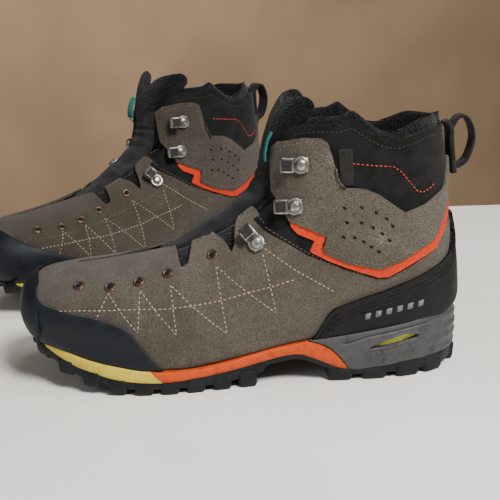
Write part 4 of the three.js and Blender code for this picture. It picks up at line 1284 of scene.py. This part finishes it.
def insole(boot):
    """The footbed's top: a dished sheet on the floor of the shoe."""
    s = np.linspace(1.2, 12.3, 60)
    share = np.linspace(-1, 1, 31)
    angle = math.pi + share[None] * np.interp(s, [1.2, 4, 12.3], [0.9, 1.0, 0.75])[:, None]
    angle = np.where(angle > math.pi, angle - 2 * math.pi, angle)
    spots = np.stack([s[:, None] + 0 * angle, angle], -1)
    top = skin(spots, np.full(angle.shape, -10.6))
    bottom = skin(spots, np.full(angle.shape, -6.4))
    return slab(boot, "footbed_sheet", top, bottom, FOAM, sides=top[..., :2], roll=0.5, slot="footbed_foam",
                replaces=("footbed",))


HOOKS = [  # name, side-view x, z, heading, lift
    ("locking", 10.3, 98, (-8, 10), 0.0), ("lower", 36, 122, (-1, 0), PANEL_LIFT),
    ("upper", 40.4, 149, (-1, 0), PANEL_LIFT),
]
HOOK_FOLD = [
    (-4.6, 1.3), (2, 1.3), (8, 1.3), (11.2, 1.7), (12.9, 3.4), (12.4, 5.6), (10.4, 6.7), (7.5, 6.9),
    (4.4, 6.7),
]


RIVET = [  # radius, height
    (CLOSED, 0.4), (5.6, 0.4), (5.8, 1.5), (5.5, 2.3), (4.7, 2.6), (4.1, 2.2), (3.9, 2.3), (3.7, 3.2),
    (3.0, 3.9), (1.8, 4.3), (CLOSED, 4.4),
]


def hooks(boot):
    """Lacing hooks: a plate folded back over itself, a collared rivet on its foot and a dark ribbed pad
    on its head."""
    u, v = np.meshgrid(np.linspace(-1, 1, 13), np.linspace(-1, 1, 13))
    ribs = 0.7 + 0.12 * np.cos(u * 12) * np.cos(v * 12)
    for side_name, flank in SIDES:
        for name, x, z, heading, lift in HOOKS:
            place, out, ahead, across = at = seat(x, z, flank, lift, heading)
            node = f"{name}_hook_{side_name}"
            fold = [place + ahead * a + out * h for a, h in HOOK_FOLD]
            straps(boot, f"{node}_plate", fold, PLATE_WIDTH, PLATE_THICKNESS, STEEL, flat_axis=across,
                   slot="hook_steel", replaces=(node,))
            gathered(boot, f"{node}_rivet", [turned(at, RIVET, 32)], STEEL, slot="hook_steel")
            pad = place + ahead * (8.2 + u[..., None] * 3.4) + across * v[..., None] * 3.6 + out * FOLD_HEIGHT
            slab(boot, f"{node}_pad", pad + out * ribs[..., None], pad, INSERT, roll=0.25, slot="hook_steel")


def dress(boot):
    """Every piece of one boot."""
    for make in (lower_suede, toe_rand, heel_patch, ankle_panels, ankle_trim, collar_shell, midsoles,
                 heel_frames, outsoles, heel_straps, eyelets, seams, perforations, heel_bars, side_label,
                 tongue, collar_padding, sock, insole, hooks):
        make(boot)


# ---------------------------------------------------------------- the pair
def boots():
    """Both boots' frames, read from where the tongue joints stand."""
    made = []
    for name, flip in (("left", False), ("right", True)):
        joint = next(j for j in frame["record"]["behaviour"]["joints"] if j["name"] == f"{name}_tongue_tip")
        pivot, axis = Vector(joint["pos_m"]), Vector(joint["axis"])
        yaw = math.atan2(axis.x, -axis.y)
        turn = Matrix.Rotation(yaw, 4, "Z")
        made.append(Boot(name, pivot - turn @ Vector((-0.058, 0, 0.086)), yaw, flip))
    return made


def camera():
    """The viewing camera: near the floor, in front of the outer side of the left boot."""
    data = bpy.data.cameras.new("view")
    data.lens, data.sensor_width = 63.3, 36.0
    data.clip_start = 0.05
    pan, tilt, roll = 0.056, -0.263, -0.0175
    ahead = Vector((math.sin(pan) * math.cos(tilt), math.cos(pan) * math.cos(tilt), math.sin(tilt)))
    right = Vector((math.cos(pan), -math.sin(pan), 0))
    up = right.cross(ahead)
    across = right * math.cos(roll) + up * math.sin(roll)
    above = up * math.cos(roll) - right * math.sin(roll)
    obj = bpy.data.objects.new("view", data)
    turn = Matrix((across, above, -ahead)).transposed().to_4x4()
    obj.matrix_world = Matrix.Translation((0.0064, -0.7285, 0.2439)) @ turn
    bpy.context.scene.collection.objects.link(obj)
    bpy.context.scene.camera = obj


def lamp(name, place, target, size, energy, colour):
    """A soft square lamp that faces its target."""
    data = bpy.data.lights.new(name, "AREA")
    data.size, data.energy, data.color = size, energy, colour
    obj = bpy.data.objects.new(name, data)
    obj.location = place
    obj.rotation_euler = (Vector(target) - Vector(place)).to_track_quat("-Z", "Y").to_euler()
    bpy.context.scene.collection.objects.link(obj)


def sheet_of(name, corners, material):
    """A flat stage sheet from its corners."""
    mesh = bpy.data.meshes.new(name)
    mesh.from_pydata(corners, [], [tuple(range(len(corners)))])
    mesh.materials.append(material)
    obj = bpy.data.objects.new(name, mesh)
    bpy.context.scene.collection.objects.link(obj)
    return obj


def studio():
    """Pale table top, warm wall behind it and three soft lamps."""
    table = Finish("table_top", Roughness=0.55, Specular_IOR_Level=0.3)
    clouds = table.noise(6, 2).ramp(0.3, 0.7)
    table.set("Base Color", table.mix(clouds, srgb(250, 248, 243), srgb(242, 240, 234)))
    wall = Finish("wall", Roughness=0.9)
    clouds = wall.noise(3, 2).ramp(0.3, 0.7)
    wall.set("Base Color", wall.mix(clouds, srgb(186, 155, 124), srgb(172, 142, 112)))
    sheet_of("floor", [(-2, -2, 0), (2, -2, 0), (2, 0.36, 0), (-2, 0.36, 0)], table.material)
    sheet_of("backdrop", [(-6, 2.6, -3), (6, 2.6, -3), (6, 2.6, 4), (-6, 2.6, 4)], wall.material)
    lamp("key", (0.5, -0.85, 1.15), (0.05, -0.05, 0.05), 0.45, 31, (1, 0.98, 0.94))
    lamp("fill", (-0.9, -1.0, 0.7), (-0.1, 0, 0.08), 0.7, 2.5, (0.95, 0.97, 1))
    lamp("top", (0.3, -0.1, 1.3), (0, -0.05, 0), 0.6, 4, (1, 0.98, 0.95))
    lamp("wall", (-0.6, 0.9, 1.2), (-0.3, 2.6, -0.1), 0.5, 26, (1, 0.98, 0.95))
    world = bpy.data.worlds.new("room")
    world.use_nodes = True
    world.node_tree.nodes["Background"].inputs[0].default_value = (0.9, 0.86, 0.82, 1)
    world.node_tree.nodes["Background"].inputs[1].default_value = 0.13
    bpy.context.scene.world = world


KEPT = {"shank": DARK_STEEL, "insole_board": BOARD, "heel_counter": BOARD}


def finish_kept_nodes():
    """Finishes for the frame's own parts that stay hidden inside the boots."""
    for name, obj in frame["nodes"].items():
        for part, material in KEPT.items():
            if part in name:
                obj.data.materials.clear()
                obj.data.materials.append(material)


camera()
studio()
finish_kept_nodes()
for one in boots():
    dress(one)
